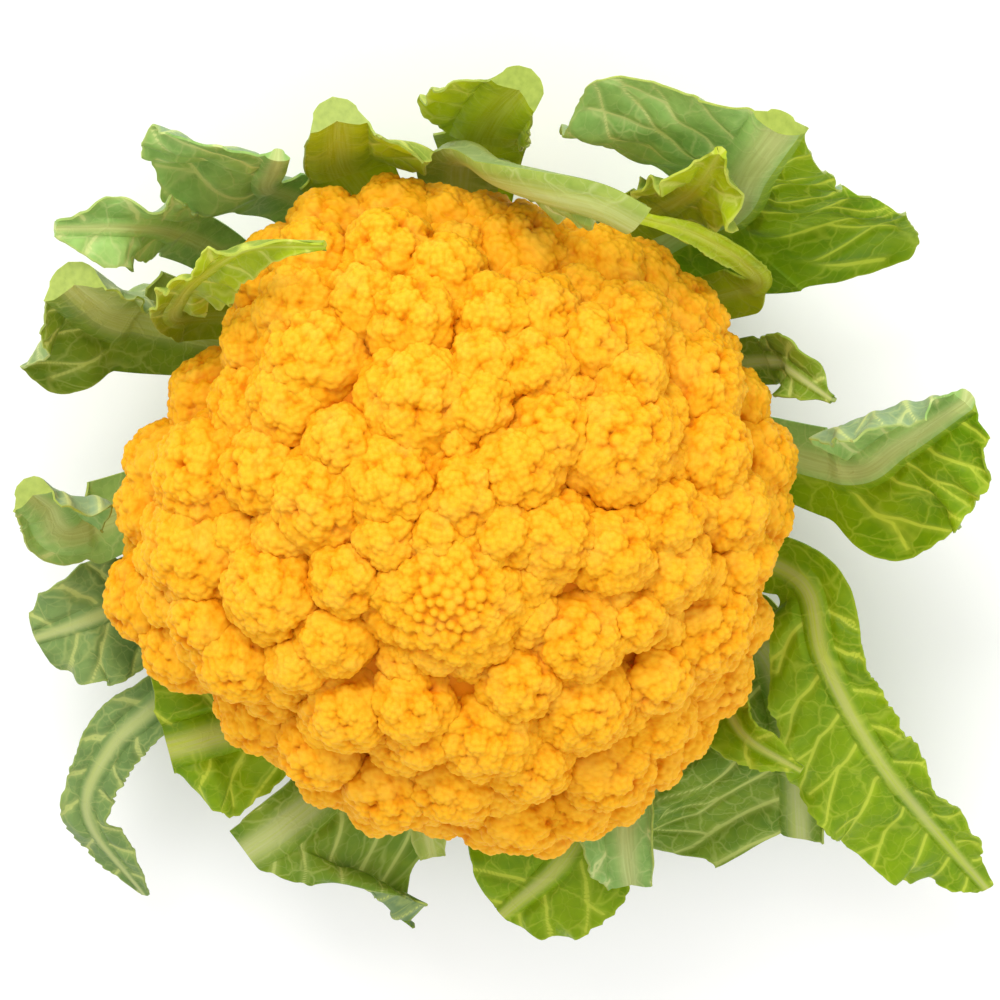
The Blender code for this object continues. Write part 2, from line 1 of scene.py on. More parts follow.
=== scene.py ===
"""A yellow cauliflower with its trimmed leaves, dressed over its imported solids.

Lengths in the classes are millimetres, as a grower would give them, and MM turns them into metres.
The head's axis is Z and the stump's cut face is at z = 0.
"""

import json
import logging
import math
from dataclasses import dataclass, field
from enum import Enum
from typing import Any, Callable, Iterable

import bpy
import numpy as np
from mathutils import Matrix, Vector


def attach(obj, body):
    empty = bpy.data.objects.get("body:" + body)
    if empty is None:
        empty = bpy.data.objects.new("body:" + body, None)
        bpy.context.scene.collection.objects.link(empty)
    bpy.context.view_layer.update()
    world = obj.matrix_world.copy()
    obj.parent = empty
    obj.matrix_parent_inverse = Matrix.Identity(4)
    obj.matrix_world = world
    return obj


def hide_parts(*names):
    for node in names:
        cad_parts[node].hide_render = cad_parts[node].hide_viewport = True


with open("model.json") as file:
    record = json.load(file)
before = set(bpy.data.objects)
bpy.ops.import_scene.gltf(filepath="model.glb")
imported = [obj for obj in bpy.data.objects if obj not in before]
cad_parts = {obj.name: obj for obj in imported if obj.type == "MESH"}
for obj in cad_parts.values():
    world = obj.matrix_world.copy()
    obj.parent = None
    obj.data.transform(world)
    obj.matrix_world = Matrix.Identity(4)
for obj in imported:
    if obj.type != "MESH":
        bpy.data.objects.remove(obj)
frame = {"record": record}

logging.basicConfig(level=logging.INFO, format="%(message)s")
log = logging.getLogger("cauliflower")

MM: float = 0.001
GOLDEN_ANGLE: float = math.radians(137.508)
Array = np.ndarray


def linear(hex_colour: str) -> tuple[float, float, float, float]:
    """Turns an sRGB hex colour into a linear one.

    Args:
        hex_colour: six hex digits after a hash.

    Returns:
        Red, green, blue and an alpha of one.
    """
    parts = [int(hex_colour[i : i + 2], 16) / 255 for i in (1, 3, 5)]
    red, green, blue = (c / 12.92 if c <= 0.04045 else ((c + 0.055) / 1.055) ** 2.4 for c in parts)
    return red, green, blue, 1.0


def unit(vectors: Array) -> Array:
    """Vectors at length one."""
    return vectors / np.maximum(np.linalg.norm(vectors, axis=-1, keepdims=True), 1e-12)


def eased(values: Iterable[float], places: Array) -> Array:
    """Reads values that stand at even steps, smoothly.

    Args:
        values: what is read, first to last.
        places: where, from 0 to 1.

    Returns:
        One value for each place.
    """
    table = np.asarray(list(values), float)
    position = np.clip(places, 0.0, 1.0) * (len(table) - 1)
    low = np.minimum(position.astype(int), len(table) - 2)
    part = position - low
    part = part * part * (3 - 2 * part)
    return table[low] * (1 - part) + table[low + 1] * part


def soft_step(values: Array, low: float, high: float) -> Array:
    """Rises smoothly from 0 at low to 1 at high."""
    part = np.clip((values - low) / (high - low), 0.0, 1.0)
    return part * part * (3 - 2 * part)


def deselect_all() -> None:
    """Leaves nothing selected, in object mode."""
    if bpy.context.mode != "OBJECT":
        bpy.ops.object.mode_set(mode="OBJECT")
    bpy.ops.object.select_all(action="DESELECT")


def points_of(mesh: bpy.types.Mesh) -> Array:
    """Every vertex of a mesh, as rows."""
    flat = np.empty(len(mesh.vertices) * 3, np.float32)
    mesh.vertices.foreach_get("co", flat)
    return flat.reshape(-1, 3).astype(float)


def set_points(mesh: bpy.types.Mesh, points: Array) -> None:
    """Moves every vertex of a mesh to the given rows, in metres."""
    mesh.vertices.foreach_set("co", np.ascontiguousarray(points, np.float32).ravel())
    mesh.update()


def store(mesh: bpy.types.Mesh, name: str, values: Array) -> None:
    """Keeps one number a vertex, for a material to read."""
    layer = mesh.attributes.new(name, "FLOAT", "POINT")
    layer.data.foreach_set("value", np.ascontiguousarray(values, np.float32).ravel())


def store_vectors(mesh: bpy.types.Mesh, name: str, values: Array) -> None:
    """Keeps one vector a vertex, for a material to read."""
    layer = mesh.attributes.new(name, "FLOAT_VECTOR", "POINT")
    layer.data.foreach_set("vector", np.ascontiguousarray(values, np.float32).ravel())


def add_node(tree: bpy.types.NodeTree, kind: str, settings: dict[str, Any] | None = None,
             links: dict[str | int, bpy.types.NodeSocket] | None = None,
             values: dict[str | int, Any] | None = None) -> bpy.types.Node:
    """Adds one shader node with its settings, linked inputs and fixed inputs.

    Args:
        tree: the material's node tree.
        kind: the node's type name.
        settings: properties of the node.
        links: inputs, by name or number, and the sockets that feed them.
        values: inputs, by name or number, and the values that they keep.

    Returns:
        The node.
    """
    node = tree.nodes.new(kind)
    for name, value in (settings or {}).items():
        setattr(node, name, value)
    for key, value in (values or {}).items():
        node.inputs[key].default_value = value
    for key, socket in (links or {}).items():
        tree.links.new(socket, node.inputs[key])
    return node


def read_attribute(tree: bpy.types.NodeTree, name: str, output: str = "Fac") -> bpy.types.NodeSocket:
    """The socket of a value that the piece's vertices keep under this name."""
    return add_node(tree, "ShaderNodeAttribute", {"attribute_name": name}).outputs[output]


def noise(tree: bpy.types.NodeTree, place: bpy.types.NodeSocket, scale: float,
          detail: float = 3.0) -> bpy.types.NodeSocket:
    """The socket of a soft noise with this many waves a unit of length."""
    return add_node(tree, "ShaderNodeTexNoise", None, {"Vector": place},
                    {"Scale": scale, "Detail": detail}).outputs[0]


def add_bump(tree: bpy.types.NodeTree, height: bpy.types.NodeSocket, strength: float,
             distance: float) -> bpy.types.NodeSocket:
    """The socket of a normal that is roughened by a height, over a distance in millimetres."""
    return add_node(tree, "ShaderNodeBump", None, {"Height": height},
                    {"Strength": strength, "Distance": distance * MM}).outputs[0]


def remap(tree: bpy.types.NodeTree, value: bpy.types.NodeSocket, source: tuple[float, float],
          target: tuple[float, float], smooth: bool = False) -> bpy.types.NodeSocket:
    """Turns a number that runs over one range into one that runs over another.

    Args:
        tree: the material's node tree.
        value: the number.
        source: where it starts and ends.
        target: what that gives.
        smooth: whether it eases in and out.

    Returns:
        The socket of the new number.
    """
    settings = {"interpolation_type": "SMOOTHSTEP"} if smooth else None
    return add_node(tree, "ShaderNodeMapRange", settings, {0: value},
                    {1: source[0], 2: source[1], 3: target[0], 4: target[1]}).outputs[0]


def soften(shader: bpy.types.Node, weight: float, radius: tuple[float, float, float], scale: float) -> None:
    """Lets light a little way into a surface, by colour, over a scale in millimetres."""
    shader.inputs["Subsurface Weight"].default_value = weight
    shader.inputs["Subsurface Radius"].default_value = radius
    shader.inputs["Subsurface Scale"].default_value = scale * MM


def new_material(name: str) -> tuple[bpy.types.Material, bpy.types.NodeTree, bpy.types.Node, bpy.types.Node]:
    """An empty material with a Principled shader.

    Args:
        name: what the surface is.

    Returns:
        The material, its tree, its shader and its output.
    """
    material = bpy.data.materials.new(name)
    material.use_nodes = True
    tree = material.node_tree
    tree.nodes.clear()
    output = tree.nodes.new("ShaderNodeOutputMaterial")
    shader = tree.nodes.new("ShaderNodeBsdfPrincipled")
    tree.links.new(shader.outputs[0], output.inputs["Surface"])
    return material, tree, shader, output


def mix_colour(tree: bpy.types.NodeTree, share: bpy.types.NodeSocket | float,
               first: bpy.types.NodeSocket | tuple[float, ...],
               second: bpy.types.NodeSocket | tuple[float, ...], blend: str = "MIX") -> bpy.types.NodeSocket:
    """Mixes two colours.

    Args:
        tree: the material's node tree.
        share: how much of the second shows, as a socket or a number.
        first: the colour below, as a socket or a value.
        second: the colour above, as a socket or a value.
        blend: how they mix.

    Returns:
        The mixed colour's socket.
    """
    node = tree.nodes.new("ShaderNodeMix")
    node.data_type = "RGBA"
    node.blend_type = blend
    for place, given in ((0, share), (6, first), (7, second)):
        if isinstance(given, bpy.types.NodeSocket):
            tree.links.new(given, node.inputs[place])
        else:
            node.inputs[place].default_value = given
    return node.outputs[2]


def ramp(tree: bpy.types.NodeTree, factor: bpy.types.NodeSocket,
         stops: Iterable[tuple[float, tuple[float, float, float, float]]]) -> bpy.types.NodeSocket:
    """Turns a number into a colour.

    Args:
        tree: the material's node tree.
        factor: the number.
        stops: places from 0 to 1, rising, with the colour at each.

    Returns:
        The colour's socket.
    """
    node = tree.nodes.new("ShaderNodeValToRGB")
    wanted = list(stops)
    while len(node.color_ramp.elements) < len(wanted):
        node.color_ramp.elements.new(0.5)
    for element, (place, colour) in zip(node.color_ramp.elements, wanted):
        element.position = place
        element.color = colour
    tree.links.new(factor, node.inputs[0])
    return node.outputs[0]


@dataclass(frozen=True)
class CurdFinish:
    """Fresh curd: dull, waxy flower buds that let light a little way in, with creases and gaps painted darker
    orange as shade.
    """

    # Painted light and shade: top is the lit knob tops, side their flanks, crease_shade the shaded creases,
    # gap the deep shade between florets.
    top: str = "#EBAE22"
    side: str = "#E29A0C"
    crease_shade: str = "#DA7800"
    gap: str = "#B45C00"
    speckle: str = "#EFBC44"
    side_place: float = 0.45
    roughness: float = 0.62
    specular: float = 0.1
    speckle_size: float = 8.0
    speckle_share: float = 0.35
    grain_size: float = 0.35
    grain_depth: float = 0.12
    soft_share: float = 0.2
    soft_radius: tuple[float, float, float] = (1.0, 0.45, 0.08)
    soft_scale: float = 1.5

    def build(self) -> bpy.types.Material:
        """Makes the curd's material, which reads the attributes crease_shade and depth, both of them painted
        shade.
        """
        material, tree, shader, _ = new_material("fresh orange curd")
        crease_shade, depth = read_attribute(tree, "crease_shade"), read_attribute(tree, "depth")
        place = add_node(tree, "ShaderNodeTexCoord").outputs["Object"]
        # Painted shade: the colour darkens from top through side to crease_shade where the crease_shade
        # attribute marks creases.
        colour = ramp(tree, crease_shade, ((0.0, linear(self.top)), (self.side_place, linear(self.side)),
                                     (1.0, linear(self.crease_shade))))
        speckles = noise(tree, place, 1 / (self.speckle_size * MM))
        pale = remap(tree, speckles, (0.5, 0.75), (0.0, self.speckle_share))
        colour = mix_colour(tree, pale, colour, linear(self.speckle))
        # Painted shade: deep between florets the colour turns to the dark gap orange, by the depth attribute.
        colour = mix_colour(tree, depth, colour, linear(self.gap))
        normal = add_bump(tree, noise(tree, place, 1 / (self.grain_size * MM), 2.0), 0.35, self.grain_depth)
        tree.links.new(colour, shader.inputs["Base Color"])
        tree.links.new(normal, shader.inputs["Normal"])
        shader.inputs["Roughness"].default_value = self.roughness
        shader.inputs["Specular IOR Level"].default_value = self.specular
        soften(shader, self.soft_share, self.soft_radius, self.soft_scale)
        return material


@dataclass(frozen=True)
class StalkFinish:
    """Peeled-looking stem flesh: pale, moist and streaked along its fibres."""

    flesh: str = "#E3E3A4"
    streak: str = "#C3CF6F"
    roughness: float = 0.5
    streak_size: float = 1.6
    streaks_along: float = 60.0
    streak_depth: float = 0.2
    soft_share: float = 0.2
    soft_radius: tuple[float, float, float] = (1.0, 1.0, 0.4)
    soft_scale: float = 2.0

    def build(self, name: str) -> bpy.types.Material:
        """Makes the stem's material under the given name."""
        material, tree, shader, _ = new_material(name)
        place = add_node(tree, "ShaderNodeTexCoord").outputs["Object"]
        across = 1 / (self.streak_size * MM)
        stretched = add_node(tree, "ShaderNodeMapping", None, {"Vector": place},
                             {"Scale": (across, across, self.streaks_along)}).outputs[0]
        streaks = noise(tree, stretched, 1.0)
        colour = ramp(tree, streaks, ((0.35, linear(self.flesh)), (0.75, linear(self.streak))))
        tree.links.new(colour, shader.inputs["Base Color"])
        tree.links.new(add_bump(tree, streaks, 0.3, self.streak_depth), shader.inputs["Normal"])
        shader.inputs["Roughness"].default_value = self.roughness
        soften(shader, self.soft_share, self.soft_radius, self.soft_scale)
        return material


@dataclass(frozen=True)
class LeafFinish:
    """Brassica leaf skin: a thin wax over green cells, pale along the veins, paler and bluer behind.

    nets are the nets of small veins: the width of a mesh in millimetres, of a line as a share of a mesh,
    and how clear it is. vein_edge and halo_edge are how many half widths from a vein's middle its own
    colour and the paler skin beside it begin and end to fade. fibres_a_mm counts the midrib's fibres
    along it, across it and through it.
    """

    name: str
    blade: str
    shade: str
    vein: str
    rib: str
    back: str
    back_shade: str
    margin: str
    glow: float = 0.3
    roughness: float = 0.42
    specular: float = 0.18
    nets: tuple[tuple[float, float, float], ...] = ((3.4, 0.06, 0.2), (9.5, 0.045, 0.42))
    vein_edge: tuple[float, float] = (0.5, 1.35)
    halo_edge: tuple[float, float] = (0.8, 4.0)
    cloud_size: float = 22.0
    mottle_size: float = 3.0
    mottle_share: float = 0.35
    fibres_a_mm: tuple[float, float, float] = (0.05, 1.3, 1.0)
    relief: float = 0.35

    @staticmethod
    def net(tree: bpy.types.NodeTree, leaf: bpy.types.NodeSocket, size: float, width: float,
            strength: float) -> bpy.types.NodeSocket:
        """Draws a net of small veins.

        Args:
            tree: the material's node tree.
            leaf: where on the leaf, in millimetres.
            size: how wide its meshes are, in millimetres.
            width: how wide its lines are, as a share of a mesh.
            strength: how clear its lines are, from 0 to 1.

        Returns:
            The socket of the net's strength.
        """
        stray = add_node(tree, "ShaderNodeTexNoise", None, {"Vector": leaf},
                         {"Scale": 2 / size}).outputs["Color"]
        moved = add_node(tree, "ShaderNodeVectorMath", {"operation": "MULTIPLY_ADD"}, {0: stray, 2: leaf},
                         {1: (0.5 * size, 0.5 * size, 0.0)}).outputs[0]
        cells = add_node(tree, "ShaderNodeTexVoronoi", {"feature": "DISTANCE_TO_EDGE"}, {"Vector": moved},
                         {"Scale": 1 / size}).outputs["Distance"]
        return remap(tree, cells, (0.0, width), (strength, 0.0))

    def build(self, behind: bool) -> bpy.types.Material:
        """Makes one side's material, which reads the attributes leaf, vein, rib and margin.

        Args:
            behind: whether it is the side away from the head.

        Returns:
            The material.
        """
        side = "back" if behind else "face"
        material, tree, shader, output = new_material(f"{self.name} leaf {side}")
        blade, shade = (self.back, self.back_shade) if behind else (self.blade, self.shade)
        place = add_node(tree, "ShaderNodeTexCoord").outputs["Object"]
        leaf = read_attribute(tree, "leaf", "Vector")
        apart, rib, margin = (read_attribute(tree, name) for name in ("vein", "rib", "margin"))
        clouds = add_node(tree, "ShaderNodeTexNoise", None, {"Vector": place},
                          {"Scale": 1 / (self.cloud_size * MM), "Detail": 4.0, "Roughness": 0.6}).outputs[0]
        mottle = noise(tree, place, 1 / (self.mottle_size * MM))
        both = add_node(tree, "ShaderNodeMath", {"operation": "MULTIPLY_ADD"}, {0: mottle, 2: clouds},
                        {1: self.mottle_share}).outputs[0]
        colour = ramp(tree, both, ((0.50, linear(shade)), (0.82, linear(blade))))
        fine_net, coarse_net = (self.net(tree, leaf, *net) for net in self.nets)
        net = add_node(tree, "ShaderNodeMath", {"operation": "MAXIMUM"},
                       {0: fine_net, 1: coarse_net}).outputs[0]
        vein = remap(tree, apart, self.vein_edge, (0.95, 0.0), True)
        halo = remap(tree, apart, self.halo_edge, (0.3, 0.0), True)
        for share in (net, halo, vein):
            colour = mix_colour(tree, share, colour, linear(self.vein))
        lengthwise = add_node(tree, "ShaderNodeMapping", None, {"Vector": leaf},
                              {"Scale": self.fibres_a_mm}).outputs[0]
        flesh = ramp(tree, noise(tree, lengthwise, 1.0), ((0.35, linear(self.rib)), (0.7, linear(self.vein))))
        colour = mix_colour(tree, rib, colour, flesh)
        colour = mix_colour(tree, margin, colour, linear(self.margin))
        height = add_node(tree, "ShaderNodeMath", {"operation": "MULTIPLY_ADD"}, {0: mottle, 2: net},
                          {1: 0.5}).outputs[0]
        normal = add_bump(tree, height, 0.5, self.relief)
        tree.links.new(colour, shader.inputs["Base Color"])
        tree.links.new(normal, shader.inputs["Normal"])
        shader.inputs["Roughness"].default_value = self.roughness
        shader.inputs["Specular IOR Level"].default_value = self.specular
        through = add_node(tree, "ShaderNodeBsdfTranslucent", None, {"Color": colour, "Normal": normal})
        mixed = add_node(tree, "ShaderNodeMixShader", None, {1: shader.outputs[0], 2: through.outputs[0]},
                         {0: self.glow})
        tree.links.new(mixed.outputs[0], output.inputs["Surface"])
        return material


class LeafKind(Enum):
    """The kinds of leaf round the head, each with its finish."""

    WAXY = LeafFinish("waxy", "#B2D678", "#8CB65C", "#D8E296",
                      "#C4CC7C", "#A8BF92", "#86A674", "#BCCB70", 0.3)
    DARK = LeafFinish("dark", "#8CA62C", "#6A8F24", "#CAD674",
                      "#D2D898", "#94AD76", "#708F56", "#A8BE4C", 0.3)
    GREY = LeafFinish("grey", "#8AA65E", "#6C8A4A", "#C6D07C",
                      "#C8D08C", "#96AC80", "#72906A", "#AABC62", 0.3)
    BRIGHT = LeafFinish("bright", "#92B20A", "#70980A", "#CCDA48",
                      "#D0D480", "#95AE48", "#749234", "#B0C634", 0.32)
    LIME = LeafFinish("lime", "#C2D21A", "#9CB418", "#D6DE66",
                      "#C2C824", "#ACBE54", "#8CA63C", "#D2DA64", 0.32)
    PALE = LeafFinish("pale", "#B8C85E", "#94AE46", "#D8E098",
                      "#C8D06C", "#AABC7C", "#8AA660", "#CCD480", 0.3)


# Florets as they lie in the photograph: pixels from its left, pixels from its top, and radius in
# pixels, beginning with the one at the head's tip
FLORETS: tuple[tuple[float, float, float], ...] = (
    (452, 577, 74), (350, 575, 30), (335, 636, 30), (352, 702, 38), (415, 698, 34), (486, 723, 44),
    (518, 678, 33), (580, 697, 43), (578, 632, 37), (610, 547, 36), (551, 533, 36), (504, 533, 27),
    (464, 494, 31), (395, 481, 40), (323, 497, 42), (439, 531, 22), (388, 535, 24), (515, 466, 38),
    (612, 441, 52), (416, 398, 46), (344, 442, 28), (395, 778, 40), (455, 775, 38), (530, 756, 34),
    (603, 758, 40), (648, 752, 30), (520, 805, 38), (573, 800, 30), (625, 806, 28), (490, 828, 28),
    (545, 836, 28), (598, 832, 26), (325, 745, 36), (325, 785, 28), (378, 812, 28), (422, 735, 24),
    (278, 588, 42), (245, 650, 40), (262, 708, 45), (300, 660, 24), (205, 550, 45), (148, 598, 38),
    (172, 650, 38), (205, 620, 26), (325, 220, 34), (390, 197, 33), (440, 215, 32), (314, 262, 32),
    (390, 257, 36), (303, 310, 36), (263, 344, 30), (364, 300, 30), (412, 322, 36), (317, 357, 44),
    (296, 402, 36), (198, 390, 42), (212, 474, 45), (145, 462, 34), (270, 471, 36), (147, 507, 32),
    (444, 279, 33), (518, 262, 46), (598, 271, 36), (656, 261, 35), (695, 306, 44), (722, 348, 26),
    (623, 326, 34), (493, 322, 34), (540, 317, 32), (590, 342, 28), (532, 368, 32), (482, 362, 26),
    (688, 386, 44), (627, 378, 26), (752, 395, 28), (550, 431, 32), (478, 405, 28), (703, 455, 38),
    (768, 458, 38), (724, 509, 34), (569, 240, 27), (482, 224, 30), (662, 515, 30), (692, 617, 50),
    (632, 617, 26), (733, 557, 30), (740, 621, 28), (651, 672, 33), (724, 686, 42), (692, 741, 28),
    (780, 515, 34),
)


@dataclass
class View:
    """How the photograph was taken, which places the camera and the florets alike."""

    tilt: float = math.radians(20.0)
    distance: float = 1000.0
    scale: float = 0.2453
    pixels: float = 1000.0
    head_pixel: tuple[float, float] = (458.0, 516.0)
    head: tuple[float, float, float] = (0.0, 0.0, 72.0)

    def axes(self) -> tuple[Array, Array, Array]:
        """The picture's right and up, and the way back to the camera."""
        up = np.array((0.0, math.cos(self.tilt), -math.sin(self.tilt)))
        return np.array((1.0, 0.0, 0.0)), up, np.array((0.0, math.sin(self.tilt), math.cos(self.tilt)))

    def place(self, pixels: Array) -> Array:
        """Where pixels fall on the plane through the head's middle that faces the camera."""
        right, up, _ = self.axes()
        return (np.array(self.head) + right * (self.scale * (pixels[..., :1] - self.head_pixel[0]))
                + up * (self.scale * (self.head_pixel[1] - pixels[..., 1:2])))

    def eye(self) -> Array:
        """Where the camera stands."""
        return self.place(np.array((self.pixels / 2, self.pixels / 2))) + self.axes()[2] * self.distance


@dataclass
class Curd:
    """The head: florets as the photograph shows them, each covered in knobs, and each knob in beads.

    added lists the florets where the photograph shows none, a kind to a row: usual radius, distance from
    the head's tip at which they start, room between them and how far they are sunk. sight is how far in
    front of the head's middle and behind it each line of sight is followed, and in how many steps.
    underside holds the corners of the body below as radius and height, and outline how wide the head is
    against a round one, at even steps from azimuth 0. crease_shade_shares are how much painted shade a
    knob's edge, a bead's edge, a sunk place and a floret's rim add towards the crease_shade colour.
    """

    finish: CurdFinish = field(default_factory=CurdFinish)
    radius: float = 84.0
    equator_height: float = 72.0
    dome_rise: float = 58.0
    skirt_drop: float = 40.0
    core: tuple[float, float, float] = (0.0, 0.0, 60.0)
    head_end: float = 130.0
    added: tuple[tuple[float, float, float, float], ...] = ((12.5, 60.0, 0.66, 1.0), (8.0, 8.0, 0.62, 5.0))
    added_crowding: float = 0.8
    added_sizes: tuple[float, float] = (0.75, 1.15)
    floret_fill: float = 1.18
    floret_lift: float = 0.84
    floret_sink: float = 1.7
    bud_share: float = 0.36
    knob_share: float = 0.45
    knob_least: float = 5.4
    knob_variety: tuple[float, float] = (0.72, 1.2)
    knob_largest: float = 10.0
    knob_sink: float = 0.5
    knob_overlap: float = 1.2
    knob_reach: float = math.radians(112.0)
    bud_size: float = 2.5
    plain_knob: float = 2.1
    bead_radius: float = 1.1
    bead_spacing: float = 1.95
    bead_sink: tuple[float, float] = (0.55, 0.22)
    seed: int = 11
    underside: tuple[tuple[float, float], ...] = (
        (0.0, 35.4), (32.0, 35.9), (54.0, 39.5), (67.0, 47.0), (73.0, 62.0))
    body_share: float = 0.86
    branch_top: float = 60.0
    outline: tuple[float, ...] = (
        0.96, 0.98, 0.95, 0.98, 0.99, 0.94, 0.97, 1.04, 1.05, 0.92, 0.88, 0.96,
        0.99, 1.06, 0.98, 0.91, 0.95, 0.99, 1.00, 1.07, 1.06, 1.01, 0.99, 0.94)
    most_triangles: int = 180_000
    rows_per_mm: float = 2.6
    crowding: tuple[float, float] = (0.62, 0.38)
    sight: tuple[float, float, int] = (80.0, -50.0, 521)
    knob_start: float = 0.58
    knob_sizes: tuple[float, float] = (0.78, 1.22)
    knob_stray: float = 0.13
    knob_core: float = 0.97
    knob_last_tilt: float = 2.6
    bead_crowding: float = 1.1
    bead_lean: float = 0.3
    bead_limit: float = -0.35
    bead_upright: tuple[float, float] = (0.3, 0.9)
    bead_stray: float = 0.08
    bead_sizes: tuple[float, float] = (0.82, 1.18)
    floor_share: float = 0.8
    floor_depths: tuple[float, float] = (0.7, 2.8)
    crease_shade_shares: tuple[float, float, float, float] = (0.36, 0.26, 0.26, 0.22)
    gap_reach: tuple[float, float] = (3.5, 15.0)
    gap_share: float = 0.7
    branches: int = 9
    branch_stray: float = 1.5
    branch_ridge: float = 3.0
    branch_border: float = 2.5
    view: View = field(default_factory=View)
    spheres: dict[int, tuple[bpy.types.Mesh, Array]] = field(default_factory=dict)

    def profile(self, distance: Array | float) -> tuple[Array, Array, Array]:
        """The head's outer surface, some way from its tip.

        Args:
            distance: how far along the surface from the tip.

        Returns:
            Radius, height, and the outward slope as radial and upward parts.
        """
        angles = np.linspace(0.0, 2.5, 400)
        drop = np.where(angles < math.pi / 2, self.dome_rise, self.skirt_drop)
        radius = self.radius * np.sin(angles)
        height = self.equator_height + drop * np.cos(angles)
        along = np.concatenate([[0.0], np.cumsum(np.hypot(np.diff(radius), np.diff(height)))])
        angle = np.interp(distance, along, angles)
        rise = np.where(angle < math.pi / 2, self.dome_rise, self.skirt_drop)
        normal = np.stack([np.sin(angle) / self.radius, np.cos(angle) / rise], axis=-1)
        return np.interp(distance, along, radius), np.interp(distance, along, height), unit(normal)

    def swell(self, azimuths: Array, share: Array) -> Array:
        """How much wider than round the head is at these azimuths, at share 0 of the way out to 1."""
        around = eased(self.outline + self.outline[:1], np.degrees(azimuths) % 360.0 / 360.0)
        return 1.0 + (around - 1.0) * np.clip(share, 0.0, 1.0)

    @staticmethod
    def spiral(start: float, end: float, size_at: Callable[[float], float],
               radius_at: Callable[[float], float]) -> Array:
        """Distances from a tip at which a spiral grows its buds.

        Args:
            start: the first distance.
            end: the last distance.
            size_at: how wide a bud is at a distance.
            radius_at: how far from the axis a distance lies.

        Returns:
            One distance a bud.
        """
        distances = []
        distance = start
        while distance < end:
            distances.append(distance)
            distance += size_at(distance) ** 2 / (2 * math.pi * radius_at(distance))
        return np.array(distances)

    def level(self, points: Array, shrink: Array | float) -> Array:
        """How far out each point lies, where 1 is the head's outer surface drawn in by shrink."""
        flat = np.hypot(points[..., 0], points[..., 1])
        azimuth = np.arctan2(points[..., 1], points[..., 0])
        height = points[..., 2] - self.equator_height
        wide = self.radius * self.swell(azimuth, flat / self.radius) - shrink
        rise = np.where(height > 0, self.dome_rise, self.skirt_drop) - shrink
        return np.hypot(flat / wide, height / rise)

    def seen_florets(self) -> tuple[Array, Array]:
        """Centres and radii of the florets in the photograph, each where its line of sight meets the head."""
        table = np.array(FLORETS, float)
        radii = self.floret_fill * self.view.scale * table[:, 2]
        seen = self.view.place(table[:, :2])
        nearer = np.linspace(*self.sight) / self.view.distance
        line = seen[:, None, :] + (self.view.eye() - seen)[:, None, :] * nearer[None, :, None]
        level = self.level(line, self.floret_lift * radii[:, None] + self.floret_sink)
        inside = level <= 1.0
        first = np.where(inside.any(axis=1), inside.argmax(axis=1), level.argmin(axis=1))
        row = np.arange(len(line))
        drawn_in = np.maximum(level[row, first], 1.0)[:, None]
        middle = np.array(self.view.head)
        return middle + (line[row, first] - middle) / drawn_in, radii

    def florets(self) -> tuple[Array, Array, Array]:
        """Centres, outward directions and radii of the florets, with more where the photograph shows none."""
        seen, seen_radii = self.seen_florets()
        centres, radii = list(seen), list(seen_radii)
        random = np.random.default_rng(self.seed)
        for usual, start, room, sink in self.added:
            distances = self.spiral(start, self.head_end, lambda s: self.added_crowding * usual,
                                    lambda s: float(self.profile(s)[0]))
            for index, distance in enumerate(distances):
                radius = usual * random.uniform(*self.added_sizes)
                angle = GOLDEN_ANGLE * index
                r, z, normal = self.profile(distance)
                r = r * self.swell(angle, distance / self.radius)
                ring = np.array((math.cos(angle), math.sin(angle), 0.0))
                up = np.array((0.0, 0.0, 1.0))
                centre = ring * r + up * z - (ring * normal[0] + up * normal[1]) * (radius + sink)
                gaps = np.linalg.norm(np.array(centres) - centre, axis=1)
                if (gaps > room * (np.array(radii) + radius)).all():
                    centres.append(centre)
                    radii.append(radius)
        found = np.array(centres)
        lean = (found - (0.0, 0.0, self.equator_height)) / self.radius**2
        lean[:, 2] *= (self.radius / np.where(lean[:, 2] > 0, self.dome_rise, self.skirt_drop)) ** 2
        return found, unit(lean), np.array(radii)

    @staticmethod
    def across(outward: Array) -> tuple[Array, Array]:
        """Two directions square to each outward one."""
        helper = np.where(np.abs(outward[..., 2:]) < 0.9, (0.0, 0.0, 1.0), (1.0, 0.0, 0.0))
        first = unit(np.cross(helper, outward))
        return first, np.cross(outward, first)

    def knobs(self, centre: Array, outward: Array, radius: float, least: float, share: float,
              random: np.random.Generator) -> tuple[Array, Array]:
        """Lays out the knobs that cover one floret, growing in a spiral from its tip.

        Args:
            centre: the floret's centre.
            outward: which way it faces.
            radius: its radius.
            least: how wide the knobs at its tip are.
            share: how wide a knob further on is, as a share of its distance from the tip.
            random: where the small differences come from.

        Returns:
            The knobs' centres and radii.
        """
        distances = self.spiral(
            self.knob_start * least, self.knob_reach * radius,
            lambda s: min(max(share * s, least), self.knob_largest),
            lambda s: radius * math.sin(min(s / radius, self.knob_last_tilt)) + 0.05)
        distances = np.concatenate([[0.0], distances])
        sizes = np.clip(share * distances, least, self.knob_largest)
        sizes = sizes * random.uniform(*self.knob_sizes, len(distances))
        stray = random.normal(0.0, self.knob_stray, (2, len(distances))) * sizes
        turns = GOLDEN_ANGLE * np.arange(len(distances)) + random.uniform(0.0, 6.0)
        turns = turns + stray[0] / (distances + least)
        tilt = ((distances + stray[1]) / radius)[:, None]
        first, second = self.across(outward)
        ring = first * np.cos(turns)[:, None] + second * np.sin(turns)[:, None]
        directions = outward * np.cos(tilt) + ring * np.sin(tilt)
        knob_radii = self.knob_overlap / 2 * sizes
        return centre + directions * (radius - self.knob_sink * knob_radii)[:, None], knob_radii

